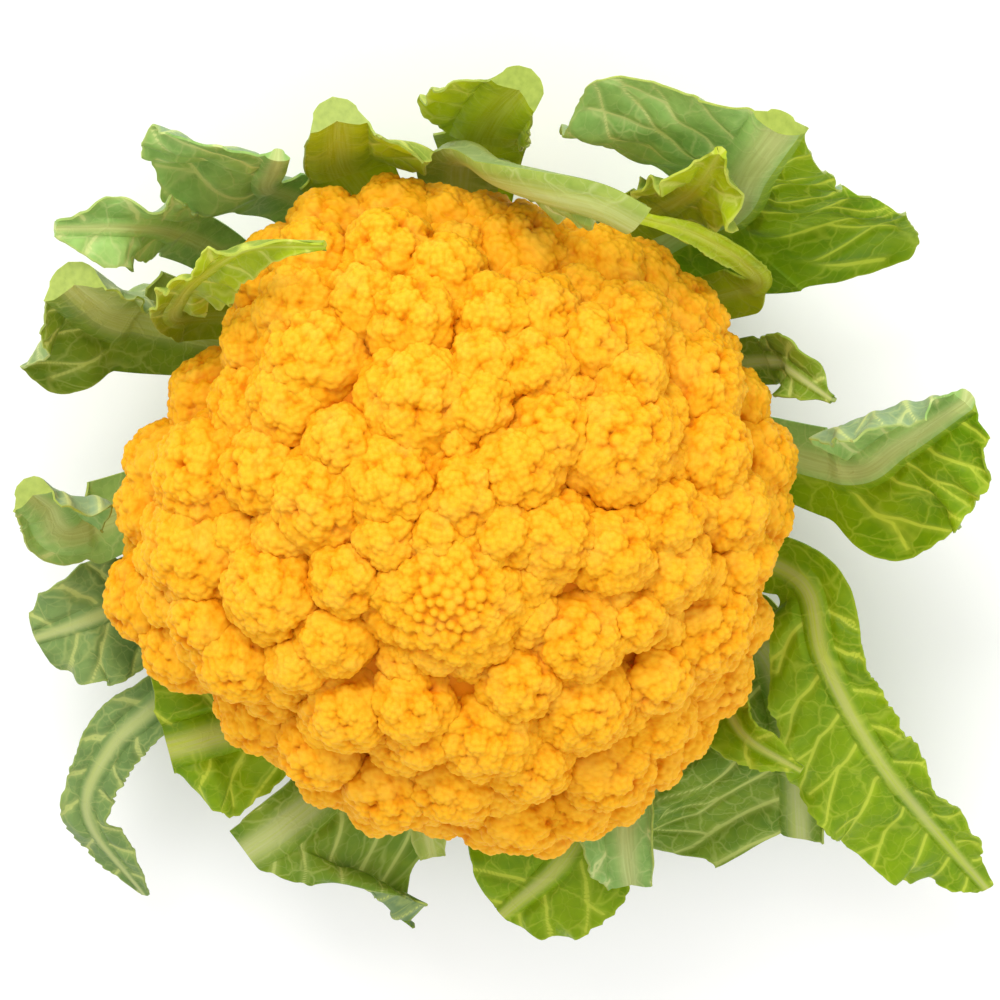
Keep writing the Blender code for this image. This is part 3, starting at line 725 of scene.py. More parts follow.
    def beads(self, centre: Array, outward: Array, centres: Array, radii: Array,
              random: np.random.Generator) -> tuple[Array, Array]:
        """Centres and radii of the beads on every knob of a floret.

        Args:
            centre: the floret's centre.
            outward: which way the floret faces.
            centres: the knobs' centres.
            radii: the knobs' radii.
            random: where the small differences between beads come from.

        Returns:
            The beads' centres and radii.
        """
        found, sizes = [], []
        for knob, radius in zip(centres, radii):
            if radius < self.plain_knob:
                found.append(knob[None, :])
                sizes.append(np.array([radius]))
                continue
            spacing = self.bead_spacing
            count = max(int(4 * math.pi * radius**2 / spacing**2 * self.bead_crowding), 7)
            index = np.arange(count) + 0.5
            z = 1 - 2 * index / count
            turn = GOLDEN_ANGLE * index + random.uniform(0.0, 6.0)
            flat = np.sqrt(np.maximum(1 - z * z, 0.0))
            axis = unit(knob - centre + self.bead_lean * radius * outward)
            first, second = self.across(axis)
            directions = (axis * z[:, None] + first * (flat * np.cos(turn))[:, None]
                          + second * (flat * np.sin(turn))[:, None])
            directions = unit(directions + random.normal(0.0, self.bead_stray, directions.shape))
            kept = directions @ axis > self.bead_limit
            size = self.bead_radius * random.uniform(*self.bead_sizes, int(kept.sum()))
            upright = soft_step(directions[kept] @ axis, *self.bead_upright)
            sink = self.bead_sink[1] + (self.bead_sink[0] - self.bead_sink[1]) * upright
            found.append(knob + directions[kept] * (radius - sink * size)[:, None])
            sizes.append(size)
        return np.vstack(found), np.concatenate(sizes)

    def sphere(self, rows: int) -> tuple[bpy.types.Mesh, Array]:
        """A cube blown up into a ball whose faces crowd towards +Z, kept for use again.

        Args:
            rows: how many rows of faces each side of the cube has.

        Returns:
            Its mesh and the direction of each vertex.
        """
        if rows not in self.spheres:
            deselect_all()
            bpy.ops.mesh.primitive_cube_add(size=2.0)
            ball = bpy.context.object
            bpy.ops.object.mode_set(mode="EDIT")
            bpy.ops.mesh.select_all(action="SELECT")
            bpy.ops.mesh.subdivide(number_cuts=rows - 1)
            bpy.ops.object.mode_set(mode="OBJECT")
            directions = unit(np.tan(points_of(ball.data) * math.pi / 4))
            angle = np.arccos(np.clip(directions[:, 2], -1.0, 1.0))
            crowded = angle * (self.crowding[0] + self.crowding[1] * (angle / math.pi) ** 3)
            flat = unit(directions * (1.0, 1.0, 0.0))
            directions = flat * np.sin(crowded)[:, None]
            directions[:, 2] = np.cos(crowded)
            mesh = ball.data
            mesh.use_fake_user = True
            bpy.data.objects.remove(ball)
            self.spheres[rows] = (mesh, directions)
        return self.spheres[rows]

    @staticmethod
    def hits(directions: Array, centres: Array, radii: Array, start: Array) -> tuple[Array, Array]:
        """Where each direction leaves the last sphere that it meets.

        Args:
            directions: unit directions from the origin.
            centres: the spheres' centres.
            radii: the spheres' radii.
            start: the least distance for each direction.

        Returns:
            The distance, and how far from that sphere's tip it is, from 0 to 1.
        """
        reach = start.copy()
        edge = np.ones_like(start)
        for centre, radius in zip(centres, radii):
            length = math.sqrt(float(centre @ centre))
            least = math.sqrt(max(length**2 - radius**2, 1e-9)) / length
            along = directions @ centre
            near = np.flatnonzero(along > least * length)
            along = along[near]
            under = radius**2 - (length**2 - along**2)
            hit = under > 0
            near, along, under = near[hit], along[hit], under[hit]
            distance = along + np.sqrt(under)
            better = distance > reach[near]
            near, distance, along = near[better], distance[better], along[better]
            reach[near] = distance
            aside = np.sqrt(np.maximum(length**2 - along**2, 0.0)) / radius
            edge[near] = aside
        return reach, edge

    def build_floret(self, index: int, centre: Array, outward: Array, radius: float,
                     random: np.random.Generator) -> bpy.types.Object:
        """Models one floret with its knobs and beads.

        Args:
            index: its number in the list, where 0 is the one at the head's tip.
            centre: its centre.
            outward: which way it faces.
            radius: its radius.
            random: where the small differences come from.

        Returns:
            The floret.
        """
        mesh, local = self.sphere(round(self.rows_per_mm * radius))
        first, second = self.across(outward)
        directions = local[:, :1] * first + local[:, 1:2] * second + local[:, 2:] * outward
        least, share = (self.knob_least, self.knob_share) if index else (self.bud_size, self.bud_share)
        least = least * random.uniform(*self.knob_variety) if index else least
        centres, radii = self.knobs(centre, outward, radius, least, share, random)
        bead_centres, bead_radii = self.beads(centre, outward, centres, radii, random)
        lowest = max(self.floor_share * radius, radius - self.floor_depths[min(index, 1)])
        floor = np.full(len(directions), lowest)
        body, knob_edge = self.hits(directions, centres - centre, self.knob_core * radii, floor)
        reach, bead_edge = self.hits(directions, bead_centres - centre, bead_radii, body)
        points = centre + directions * reach[:, None]
        floret = bpy.data.objects.new(f"curd_floret_{index}", mesh.copy())
        bpy.context.scene.collection.objects.link(floret)
        set_points(floret.data, points * MM)
        # Painted shade: knob and bead edges, sunk places and each floret's rim are darkened towards the
        # orange of shaded creases.
        sunk = soft_step(radius + 1.4 - reach, 0.0, 3.6)
        rim = soft_step(1 - unit(points - centre) @ outward, 0.2, 0.9)
        shade_causes = (soft_step(knob_edge, 0.3, 1.0), soft_step(bead_edge, 0.4, 1.0), sunk, rim)
        store(floret.data, "crease_shade", sum(share * cause for share, cause in zip(self.crease_shade_shares, shade_causes)))
        # Painted shade: points deep between florets darken towards the gap colour.
        store(floret.data, "depth", self.gap_shade_depth(points))
        return floret

    def gap_shade_depth(self, points: Array) -> Array:
        """How deep in a gap between florets each point is, from 0 on top to 1: the share of painted shade
        there.
        """
        flat = np.hypot(points[:, 0], points[:, 1])
        azimuth = np.arctan2(points[:, 1], points[:, 0])
        above = points[:, 2] > self.equator_height
        rise = np.where(above, self.dome_rise, self.skirt_drop)
        share = flat / self.radius
        wide = self.radius * self.swell(azimuth, share)
        level = np.hypot(flat / wide, (points[:, 2] - self.equator_height) / rise)
        under = (1.0 - level) * np.minimum(wide, rise) * 1.1
        return self.gap_share * soft_step(under, *self.gap_reach)

    def join(self, florets: list[bpy.types.Object], name: str) -> bpy.types.Object:
        """Joins florets into one piece of the given name."""
        deselect_all()
        for floret in florets:
            floret.select_set(True)
        bpy.context.view_layer.objects.active = florets[0]
        if len(florets) > 1:
            bpy.ops.object.join()
        joined = bpy.context.view_layer.objects.active
        joined.name = name
        joined.data.name = name
        return joined

    def body_reach(self, directions: Array) -> Array:
        """Distance from the core to the plain body inside the florets, closed by the branches below."""
        corners = np.array(self.underside)
        steps = np.linspace(0.0, len(corners) - 1.0, 60)
        radii = np.interp(steps, range(len(corners)), corners[:, 0])
        heights = np.interp(steps, range(len(corners)), corners[:, 1])
        dome = np.linspace(0.05, math.pi / 2, 30)
        radii = np.concatenate([radii, self.body_share * self.radius * np.cos(dome)])
        upper = self.equator_height + self.body_share * self.dome_rise * np.sin(dome)
        heights = np.concatenate([heights, upper]) - self.core[2]
        elevation = np.arcsin(np.clip(directions[:, 2], -1.0, 1.0))
        reach = np.interp(elevation, np.arctan2(heights, radii), np.hypot(heights, radii))
        azimuth = np.arctan2(directions[:, 1], directions[:, 0])
        reach = reach * self.swell(azimuth, np.cos(elevation) ** 2)
        ridges = np.abs(np.sin(azimuth * self.branches + self.branch_stray * np.sin(azimuth * 2)
                               + 2.0 * elevation))
        downwards = -directions[:, 2]
        shown = soft_step(downwards, 0.05, 0.35) * soft_step(downwards, 1.0, 0.85)
        return reach - self.branch_ridge * ridges * shown

    def build_branches(self, finish: bpy.types.Material, upper: bpy.types.Material) -> bpy.types.Object:
        """Models the short branches that carry the florets.

        Args:
            finish: how they look from below.
            upper: how they look between the florets.

        Returns:
            The branches.
        """
        deselect_all()
        bpy.ops.mesh.primitive_ico_sphere_add(subdivisions=6, radius=1.0)
        body = bpy.context.object
        body.name = "curd_branches"
        directions = unit(points_of(body.data))
        reach = self.body_reach(directions)
        set_points(body.data, (np.array(self.core) + directions * reach[:, None]) * MM)
        # Painted shade: the branches' upper faces between florets get a fixed share of the crease_shade and
        # gap colours.
        store(body.data, "crease_shade", np.full(len(directions), 0.8))
        store(body.data, "depth", np.full(len(directions), 0.2))
        body.data.materials.clear()
        body.data.materials.append(finish)
        body.data.materials.append(upper)
        for face in body.data.polygons:
            azimuth = math.atan2(face.center.y, face.center.x)
            wave = math.sin(self.branches * azimuth + self.branch_stray * math.sin(2 * azimuth))
            border = self.branch_top + self.branch_border * wave
            face.material_index = int(face.center.z > border * MM)
        bpy.ops.object.shade_smooth()
        return body

    def build(self) -> list[bpy.types.Object]:
        """Models the whole head and dresses it."""
        material = self.finish.build()
        random = np.random.default_rng(self.seed + 1)
        pieces, group, triangles = [], [], 0
        for index, (centre, outward, radius) in enumerate(zip(*self.florets())):
            floret = self.build_floret(index, centre, outward, float(radius), random)
            if triangles + 2 * len(floret.data.polygons) > self.most_triangles:
                pieces.append(self.join(group, f"curd_florets_{len(pieces) + 1}"))
                group, triangles = [], 0
            group.append(floret)
            triangles += 2 * len(floret.data.polygons)
        pieces.append(self.join(group, f"curd_florets_{len(pieces) + 1}"))
        for piece in pieces:
            piece.data.materials.clear()
            piece.data.materials.append(material)
            deselect_all()
            piece.select_set(True)
            bpy.context.view_layer.objects.active = piece
            bpy.ops.object.shade_smooth()
        for mesh, _ in self.spheres.values():
            mesh.use_fake_user = False
            bpy.data.meshes.remove(mesh)
        self.spheres.clear()
        skin = StalkFinish("#E9D78A", "#DDBB5A").build("curd branch skin")
        pieces.append(self.build_branches(skin, material))
        for piece in pieces:
            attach(piece, "root")
            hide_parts("curd")
            log.info("%s: %d faces", piece.name, len(piece.data.polygons))
        return pieces


@dataclass
class Stump:
    """The cut stem, flat at the bottom, with scars where lower leaves were cut away."""

    finish: StalkFinish = field(default_factory=StalkFinish)
    radius: float = 23.6
    height: float = 34.2
    sides: int = 96
    edge_wear: float = 0.8
    scars_around: int = 7
    scar_depth: float = 1.2

    def build(self) -> bpy.types.Object:
        """Models the stump and dresses it."""
        deselect_all()
        bpy.ops.mesh.primitive_cylinder_add(vertices=self.sides, radius=self.radius * MM,
                                            depth=self.height * MM, location=(0.0, 0.0, self.height / 2 * MM))
        stump = bpy.context.object
        stump.name = "stump_cut_stem"
        bpy.ops.object.transform_apply(location=True, rotation=True, scale=True)
        bevel = stump.modifiers.new("Worn edge", "BEVEL")
        bevel.width = self.edge_wear * MM
        bevel.segments = 3
        bevel.limit_method = "ANGLE"
        bpy.ops.object.modifier_apply(modifier=bevel.name)
        bpy.ops.object.mode_set(mode="EDIT")
        bpy.ops.mesh.select_all(action="SELECT")
        bpy.ops.mesh.bisect(plane_co=(0, 0, self.height / 2 * MM), plane_no=(0, 0, 1))
        bpy.ops.mesh.select_all(action="DESELECT")
        bpy.ops.object.mode_set(mode="OBJECT")
        points = points_of(stump.data) / MM
        azimuth = np.arctan2(points[:, 1], points[:, 0])
        scars = 0.5 + 0.5 * np.sin(azimuth * self.scars_around + points[:, 2] * 0.25)
        side = np.hypot(points[:, 0], points[:, 1]) > 0.9 * self.radius
        points[:, :2] *= (1 - self.scar_depth * scars / self.radius * side)[:, None]
        set_points(stump.data, points * MM)
        stump.data.materials.clear()
        stump.data.materials.append(self.finish.build("cut cauliflower stem"))
        bpy.ops.object.shade_smooth_by_angle(angle=math.radians(40))
        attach(stump, "root")
        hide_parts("stump")
        log.info("%s: %d faces", stump.name, len(stump.data.polygons))
        return stump


@dataclass
class Leaf:
    """One leaf: where its midrib runs and how its two wings stand from it.

    path holds the midrib outside the head, as azimuth in degrees, radius and height. left and right
    are the wings' widths at even steps from the neck to the end. lift is how many degrees each wing
    rises at the midrib, curl how many it bends on towards its margin, roll how far the leaf is turned
    round its midrib at its neck and its end, slant how far each wing leans towards the end as a share
    of its width, wave the height and number of the waves along a margin, and rib the midrib's half
    width at its neck and its end and its thickness there.
    """

    name: str
    root: float
    whorl: int
    path: tuple[tuple[float, float, float], ...]
    left: tuple[float, ...]
    right: tuple[float, ...]
    lift: tuple[float, float]
    curl: tuple[float, float]
    roll: tuple[float, float]
    slant: tuple[float, float]
    wave: tuple[float, int]
    rib: tuple[float, float, float, float]
    kind: LeafKind
    crinkle: float = 1.4
    left_kind: LeafKind | None = None
    right_kind: LeafKind | None = None

    def node(self) -> str:
        """The name of the solid that this leaf stands for."""
        return "leaf_" + self.name


LEAVES: tuple[Leaf, ...] = (
    Leaf("right_long", 10, 1, ((3, 98, 52), (9, 110, 67), (15, 127, 80)),
         (4, 8, 25, 32, 22), (14, 26, 27, 22, 12), (20, 5), (110, 10), (0, 0), (0.0, 0.0), (1.5, 2),
         (6, 4, 6, 4), LeafKind.WAXY, right_kind=LeafKind.BRIGHT),
    Leaf("right_small", 12, 2, ((24, 86, 56), (24, 89, 68), (20, 96, 80)),
         (6, 9, 10, 7, 1), (6, 8, 8, 5, 1), (10, 10), (10, 10), (20, 20), (0.0, 0.0), (1.0, 2),
         (3, 1, 4, 2), LeafKind.DARK),
    Leaf("upper_right_broad", 50, 0, ((48, 98, 50), (53, 114, 84), (55, 130, 102)),
         (8, 30, 46, 44, 20), (30, 48, 43, 23, 6), (-5, -12), (15, -20), (0, 0), (0.0, -0.75), (3.0, 2),
         (8, 7, 7, 6), LeafKind.WAXY, right_kind=LeafKind.BRIGHT),
    Leaf("upper_right_narrow", 42, 2, ((37, 91, 58), (44, 95, 75), (54, 95, 88), (63, 93, 95)),
         (3, 3.5, 4, 3.5, 1), (3, 3.5, 3.5, 3, 1), (20, 20), (0, 0), (-10, -20), (0.0, 0.0), (0.3, 3),
         (3, 1.5, 3.5, 2), LeafKind.LIME),
    Leaf("upper_right_crinkled", 64, 1, ((56, 92, 60), (57, 104, 84), (59, 118, 105)),
         (6, 12, 14, 12, 3), (6, 12, 14, 13, 3), (20, 20), (40, 40), (0, 0), (0.0, 0.0), (3.5, 3),
         (4, 2, 4, 2), LeafKind.LIME, 1.2),
    Leaf("top_tangential", 97, 2, ((89, 88, 62), (84, 91, 88), (77, 94, 104), (70, 96, 110), (64, 95, 109)),
         (5, 5, 4, 5, 4), (8, 15, 17, 15, 7), (10, -25), (20, -25), (0, 0), (0.0, 0.0), (2.0, 3),
         (7, 7, 6, 6), LeafKind.PALE),
    Leaf("top_stub", 86, 0, ((86, 91, 48), (84, 104, 69), (82, 114, 86)),
         (8, 12, 20, 20, 7), (9, 12, 12, 11, 7), (5, 25), (25, 60), (0, 0), (0.0, 0.0), (2.0, 2),
         (8, 8, 6, 6), LeafKind.LIME),
    Leaf("top_left_stub", 106, 1, ((109, 88, 50), (107, 99, 68), (105, 109, 84)),
         (8, 9, 9, 9, 6), (9, 13, 24, 26, 12), (25, 15), (30, 25), (0, 0), (0.0, 0.0), (1.5, 2),
         (8, 8, 6, 6), LeafKind.LIME),
    Leaf("upper_left_triangle", 118, 0, ((121, 90, 50), (117, 97, 67), (114, 103, 84)),
         (11, 26, 33, 33, 28), (3, 3, 3, 3, 2), (-12, 5), (-8, 5), (0, 0), (0.05, 0.0), (1.0, 2),
         (4, 3, 4, 3), LeafKind.WAXY),
    Leaf("left_crinkled", 138, 2,
         ((146, 83, 58), (139, 88, 78), (131, 91, 95), (121, 92, 107), (110, 87, 115)),
         (5, 7, 9, 8, 1), (5, 9, 11, 8, 1), (25, 10), (40, 30), (0, 0), (0.0, 0.0), (2.5, 4),
         (3, 1, 3.5, 1.5), LeafKind.LIME, 1.2),
    Leaf("left_stub", 147, 1, ((152, 95, 46), (148, 104, 66), (145, 112, 80)),
         (16, 27, 27, 19, 9), (8, 11, 14, 15, 11), (5, 30), (20, 60), (0, 0), (-0.7, 0.0), (1.5, 2),
         (9, 9, 6, 6), LeafKind.PALE, left_kind=LeafKind.DARK),
    Leaf("upper_left_fold", 152, 0, ((136, 97, 54), (136, 108, 76), (141, 122, 83)),
         (6, 10, 12, 11, 4), (6, 10, 12, 10, 4), (15, 15), (20, 20), (0, 0), (0.0, 0.0), (2.0, 3),
         (4, 2, 4, 2), LeafKind.WAXY),
    Leaf("left_fold", 181, 1, ((187, 98, 49), (180, 102, 63), (176, 105, 73)),
         (8, 10, 11, 10, 7), (6, 8, 16, 19, 11), (10, 25), (20, 80), (0, 0), (0.0, 0.0), (1.0, 2),
         (7, 6, 5, 5), LeafKind.WAXY),
    Leaf("left_dark", 195, 0, ((203, 92, 36), (202, 103, 44), (202, 117, 43)),
         (12, 18, 19, 17, 12), (10, 14, 15, 12, 7), (0, 0), (5, 5), (0, 0), (0.0, 0.0), (1.5, 3),
         (4, 2, 4, 2), LeafKind.GREY),
    Leaf("lower_left_twisted", 225, 0, ((219, 98, 40), (220, 118, 40), (225, 138, 34), (236, 151, 24)),
         (7, 9, 8, 9, 3), (7, 9, 8, 9, 3), (5, 5), (10, 10), (0, -60), (0.0, 0.0), (1.5, 2),
         (4, 1.5, 4, 2), LeafKind.GREY),
    Leaf("lower_left_lime", 228, 1, ((231, 86, 42), (226, 94, 52), (223, 102, 54)),
         (12, 20, 23, 20, 8), (12, 22, 28, 27, 12), (0, 5), (-10, 10), (0, 0), (0.0, 0.25), (2.5, 2),
         (6, 6, 5, 5), LeafKind.BRIGHT),
    Leaf("bottom_left", 254, 0, ((248, 97, 32), (244, 106, 44), (241, 116, 46)),
         (14, 34, 48, 44, 20), (7, 8, 9, 9, 7), (-10, 20), (-15, 30), (0, 0), (-0.75, 0.0), (2.0, 2),
         (8, 8, 6, 6), LeafKind.DARK),
    Leaf("bottom_small", 264, 2, ((264, 86, 44), (265, 96, 48), (266, 103, 48)),
         (5, 6, 6, 5, 4), (5, 5, 5, 5, 4), (20, 20), (20, 20), (0, 0), (0.0, 0.0), (0.5, 2),
         (4, 3, 4, 3), LeafKind.PALE),
    Leaf("bottom", 283, 0, ((289, 100, 32), (284, 111, 40), (275, 126, 36)),
         (10, 17, 20, 18, 8), (12, 23, 30, 28, 13), (0, 0), (-5, -5), (0, 0), (0.0, 0.0), (1.5, 2),
         (5, 2.5, 4, 2), LeafKind.BRIGHT),
    Leaf("bottom_stub", 297, 1, ((297, 92, 42), (294, 106, 50), (292, 119, 47)),
         (6, 7, 8, 8, 6), (8, 12, 16, 14, 8), (15, 15), (30, 40), (0, 0), (0.0, 0.0), (1.5, 2),
         (6, 6, 5, 5), LeafKind.WAXY),
    Leaf("lower_right_dark", 318, 0, ((327, 96, 32), (319, 116, 38), (311, 137, 34)),
         (8, 14, 14, 12, 8), (14, 36, 50, 52, 26), (10, -5), (60, -5), (0, 0), (0.0, 0.7), (2.0, 2),
         (7, 6, 5, 5), LeafKind.DARK),
    Leaf("lower_right_serrated", 321, 2, ((320, 86, 50), (319, 96, 62), (321, 111, 68)),
         (5, 7, 8, 6, 1), (5, 8, 9, 7, 1), (20, 20), (25, 25), (0, 0), (0.0, 0.0), (1.5, 2),
         (3, 1.5, 3.5, 2), LeafKind.BRIGHT),
    Leaf("lower_right_long", 337, 1,
         ((342, 92, 44), (334, 103, 54), (326, 128, 52), (322, 153, 42), (319, 185, 28)),
         (8, 11, 11, 11, 10, 8, 3), (6, 12, 20, 24, 23, 17, 6), (5, 5), (5, 0), (0, 0), (0.0, 0.0), (3.0, 5),
         (4, 2, 4.5, 2.5), LeafKind.BRIGHT),
)


@dataclass
class Foliage:
    """The leaves: each a grid laid along its midrib, veined, toothed, puckered and given thickness.

    whorls holds three points of the hidden stems of each whorl, from the stump outwards, as radius and
    height. facing is how far a leaf's inner side turns to the head's axis and upwards. no_vein stands
    for a place too far from any vein to show one.
    """

    slots: dict[str, str]
    leaves: tuple[Leaf, ...] = LEAVES
    whorls: tuple[tuple[tuple[float, float], ...], ...] = (
        ((24.6, 8.0), (50.0, 11.5), (77.0, 26.0)),
        ((24.6, 17.0), (48.0, 20.5), (73.0, 33.0)),
        ((24.0, 26.6), (46.0, 29.0), (69.0, 37.5)))
    root_half_width: float = 6.0
    root_thickness: float = 6.0
    blade_thickness: float = 0.6
    flange: float = 4.0
    facing: tuple[float, float] = (-0.3, 0.95)
    spacing: float = 0.6
    stem_spacing: float = 2.0
    vein_spacing: float = 11.0
    vein_half_width: float = 0.56
    least_vein: float = 0.34
    veined_from: float = 8.0
    first_vein: float = 0.38
    no_vein: float = 5.0
    ruffle: float = 1.3
    rib_rise: float = 0.3
    whole_rib: float = 3.0
    round_from: float = 0.93
    round_part: float = 0.07
    tooth_spacing: float = 3.4
    tooth_depth: float = 0.9
    lobe_depth: float = 1.3
    pucker: float = 0.95
    pucker_reach: float = 2.2
    crumple: float = 1.1
    seed: int = 23

    @staticmethod
    def around_axis(azimuth: float, radius: float, height: float) -> tuple[float, float, float]:
        """The point at this azimuth in degrees, radius and height."""
        angle = math.radians(azimuth)
        return radius * math.cos(angle), radius * math.sin(angle), height

    def midrib(self, leaf: Leaf, count: int = 240) -> Array:
        """A smooth curve along the whole midrib, from the stump to the end, at even steps."""
        turn = (leaf.path[0][0] - leaf.root + 180.0) % 360.0 - 180.0
        stem = [self.around_axis(leaf.root + turn * share, radius, height)
                for share, (radius, height) in zip((0.0, 0.35, 0.85), self.whorls[leaf.whorl])]
        points = np.asarray(stem + [self.around_axis(*point) for point in leaf.path], float)
        padded = np.vstack([2 * points[0] - points[1], points, 2 * points[-1] - points[-2]])
        steps = np.linspace(0.0, 1.0, 24, endpoint=False)[:, None]
        runs = [0.5 * (2 * p1 + (p2 - p0) * steps + (2 * p0 - 5 * p1 + 4 * p2 - p3) * steps**2
                       + (3 * p1 - p0 - 3 * p2 + p3) * steps**3)
                for p0, p1, p2, p3 in zip(padded, padded[1:], padded[2:], padded[3:])]
        fine = np.vstack(runs + [points[-1:]])
        along = np.concatenate([[0.0], np.cumsum(np.linalg.norm(np.diff(fine, axis=0), axis=1))])
        wanted = np.linspace(0.0, along[-1], count)
        return np.stack([np.interp(wanted, along, fine[:, axis]) for axis in range(3)], axis=1)

    def neck(self, leaf: Leaf, curve: Array) -> float:
        """Where the blade begins along the midrib, as a share of its length."""
        gaps = np.linalg.norm(curve - self.around_axis(*leaf.path[0]), axis=1)
        return float(np.argmin(gaps)) / (len(curve) - 1) - 0.06

    def rows(self, leaf: Leaf, curve: Array, length: float) -> Array:
        """Places along the midrib, from 0 to 1, few on the hidden stem and many on the blade."""
        neck = self.neck(leaf, curve)
        stem = np.linspace(0.0, neck, max(int(neck * length / self.stem_spacing), 4), endpoint=False)
        return np.concatenate([stem, np.linspace(neck, 1.0, int((1.0 - neck) * length / self.spacing))])

    def sheet(self, leaf: Leaf, rows: Array, columns: Array, length: float,
              random: np.random.Generator) -> dict[str, Array]:
        """Lays out one leaf's inner face.

        Args:
            leaf: which leaf.
            rows: places along the midrib, from 0 at the stump to 1 at the end.
            columns: places across, from -1 to 1, where a third of the way out is the midrib's edge.
            length: the midrib's length.
            random: where small differences come from.

        Returns:
            The points, thickness, and the fields that the finish reads, by name.
        """
        fine = self.midrib(leaf)
        places = np.linspace(0.0, 1.0, len(fine))
        centre = np.stack([np.interp(rows, places, fine[:, axis]) for axis in range(3)], axis=1)
        tangents = unit(np.gradient(fine, axis=0))
        tangent = unit(np.stack([np.interp(rows, places, tangents[:, axis]) for axis in range(3)], axis=1))
        radial = unit(centre * (1.0, 1.0, 0.0))
        facing = self.facing[0] * radial + self.facing[1] * np.array((0.0, 0.0, 1.0))
        normal = unit(facing - (facing * tangent).sum(axis=1, keepdims=True) * tangent)
        side = np.cross(tangent, normal)
        neck = self.neck(leaf, fine)
        free = np.clip((rows - neck) / (1.0 - neck), 0.0, 1.0)
        growth = free**0.6
        roll = np.radians(leaf.roll[0] * growth + (leaf.roll[1] - leaf.roll[0]) * free)[:, None]
        across = side * np.cos(roll) + normal * np.sin(roll)
        inward = normal * np.cos(roll) - side * np.sin(roll)
        along_rib = (0.0, neck, 1.0)
        rib = np.interp(rows, along_rib, (self.root_half_width, *leaf.rib[:2]))[:, None]
        rib_thickness = np.interp(rows, along_rib, (self.root_thickness, *leaf.rib[2:]))[:, None]
        reach = np.abs(columns)[None, :]
        right = (columns >= 0)[None, :]
        sign = np.where(right, 1.0, -1.0)
        width = np.where(right, eased(leaf.right, free)[:, None], eased(leaf.left, free)[:, None])
        width = np.maximum(width - rib, 0.0)
        stem = (rows < neck)[:, None]
        near_neck = soft_step(free, 0.16, 0.0)[:, None]
        narrowing = np.where(stem, ((rows / neck) ** 1.5)[:, None], 1.0)
        width = np.maximum(width, self.flange * near_neck) * narrowing
        if leaf.rib[1] < self.whole_rib:
            past = np.clip((free - self.round_from) / self.round_part, 0.0, 1.0)
            width = width * np.sqrt(1 - past**2)[:, None]
        notches = [self.teeth(rows * length, free, random)[:, None] for _ in range(2)]
        tooth = np.minimum(np.where(right, notches[1], notches[0]), 0.45 * width)
        shown = width - tooth
        edge = rib * np.minimum(reach * 3.0, 1.0)
        share = np.maximum(reach * 1.5 - 0.5, 0.0)
        beyond = shown * share
        distance = edge + beyond
        wing = np.maximum(width + rib, 1.0)
        lift = np.radians(np.where(right, leaf.lift[1], leaf.lift[0])) * growth[:, None]
        curl = np.radians(np.where(right, leaf.curl[1], leaf.curl[0])) * growth[:, None]
        bend = curl / wing
        small = np.abs(bend) < 1e-6
        safe = np.where(small, 1.0, bend)
        out = np.where(small, distance * np.cos(lift), (np.sin(lift + bend * distance) - np.sin(lift)) / safe)
        rise = np.where(small, distance * np.sin(lift),
                        (np.cos(lift) - np.cos(lift + bend * distance)) / safe)
        phase = np.where(right, 1.9, 0.0)
        ruffle = (self.ruffle * leaf.wave[0] * growth[:, None] * (beyond / wing) ** 1.5
                  * np.sin(2 * math.pi * leaf.wave[1] * free[:, None] + phase))
        forward = np.where(right, leaf.slant[1], leaf.slant[0]) * beyond * growth[:, None]
        points = (centre[:, None, :] + across[:, None, :] * (sign * out)[:, :, None]
                  + tangent[:, None, :] * forward[:, :, None]
                  + inward[:, None, :] * (rise + ruffle)[:, :, None])
        round_rib = np.sqrt(np.maximum(0.0, 1.0 - np.minimum(reach * 3.0, 1.0) ** 2))
        thickness = self.blade_thickness + (rib_thickness - self.blade_thickness) * round_rib
        along = np.broadcast_to((rows * length)[:, None], distance.shape) + forward
        return {"points": points, "thickness": np.broadcast_to(thickness, distance.shape), "along": along,
                "across": sign * distance, "share": np.broadcast_to(share, distance.shape),
                "rib": np.broadcast_to(rib, distance.shape), "width": np.broadcast_to(width, distance.shape),
                "free": np.broadcast_to(free[:, None], distance.shape)}

    def teeth(self, along: Array, free: Array, random: np.random.Generator) -> Array:
        """How far the margin is cut back between its teeth, at these places along one side."""
        warped = along / self.tooth_spacing + 0.8 * np.sin(along / 7.0 + random.uniform(0.0, 6.0))
        saw = warped % 1.0
        notch = np.where(saw < 0.75, saw / 0.75, (1.0 - saw) / 0.25)
        size = self.tooth_depth * (0.6 + 0.4 * np.sin(along / 11.0 + random.uniform(0.0, 6.0)))
        lobes = self.lobe_depth * (0.5 + 0.5 * np.sin(along / 6.5 + random.uniform(0.0, 6.0)))
        return (size * notch + lobes) * soft_step(free, 0.02, 0.2)

    def veins(self, leaf: Leaf, length: float,
              random: np.random.Generator) -> list[tuple[Array, float, float]]:
        """The side veins of a leaf, in its own flat measure.

        Args:
            leaf: which leaf.
            length: the midrib's length.
            random: where small differences come from.

        Returns:
            For each stretch of vein: its two ends as rows, and its half width at each.
        """
        found: list[tuple[Array, float, float]] = []
        for sign, widths in ((-1.0, leaf.left), (1.0, leaf.right)):
            widest = max(widths)
            if widest < self.veined_from:
                continue
            start = self.first_vein * length + random.uniform(0.0, self.vein_spacing)
            while start < length + 10.0:
                line = self.vein_line(start, sign, widest, random)
                found += self.stretches(line, self.vein_half_width, 0.25)
                fork = line[3]
                twig = np.array([fork, fork + (2.5, sign * 3.5), fork + (3.0, sign * 0.42 * widest)])
                found += self.stretches(twig + random.normal(0.0, 0.5, twig.shape), 0.4, 0.2)
                start += self.vein_spacing * random.uniform(0.8, 1.25)
        return found

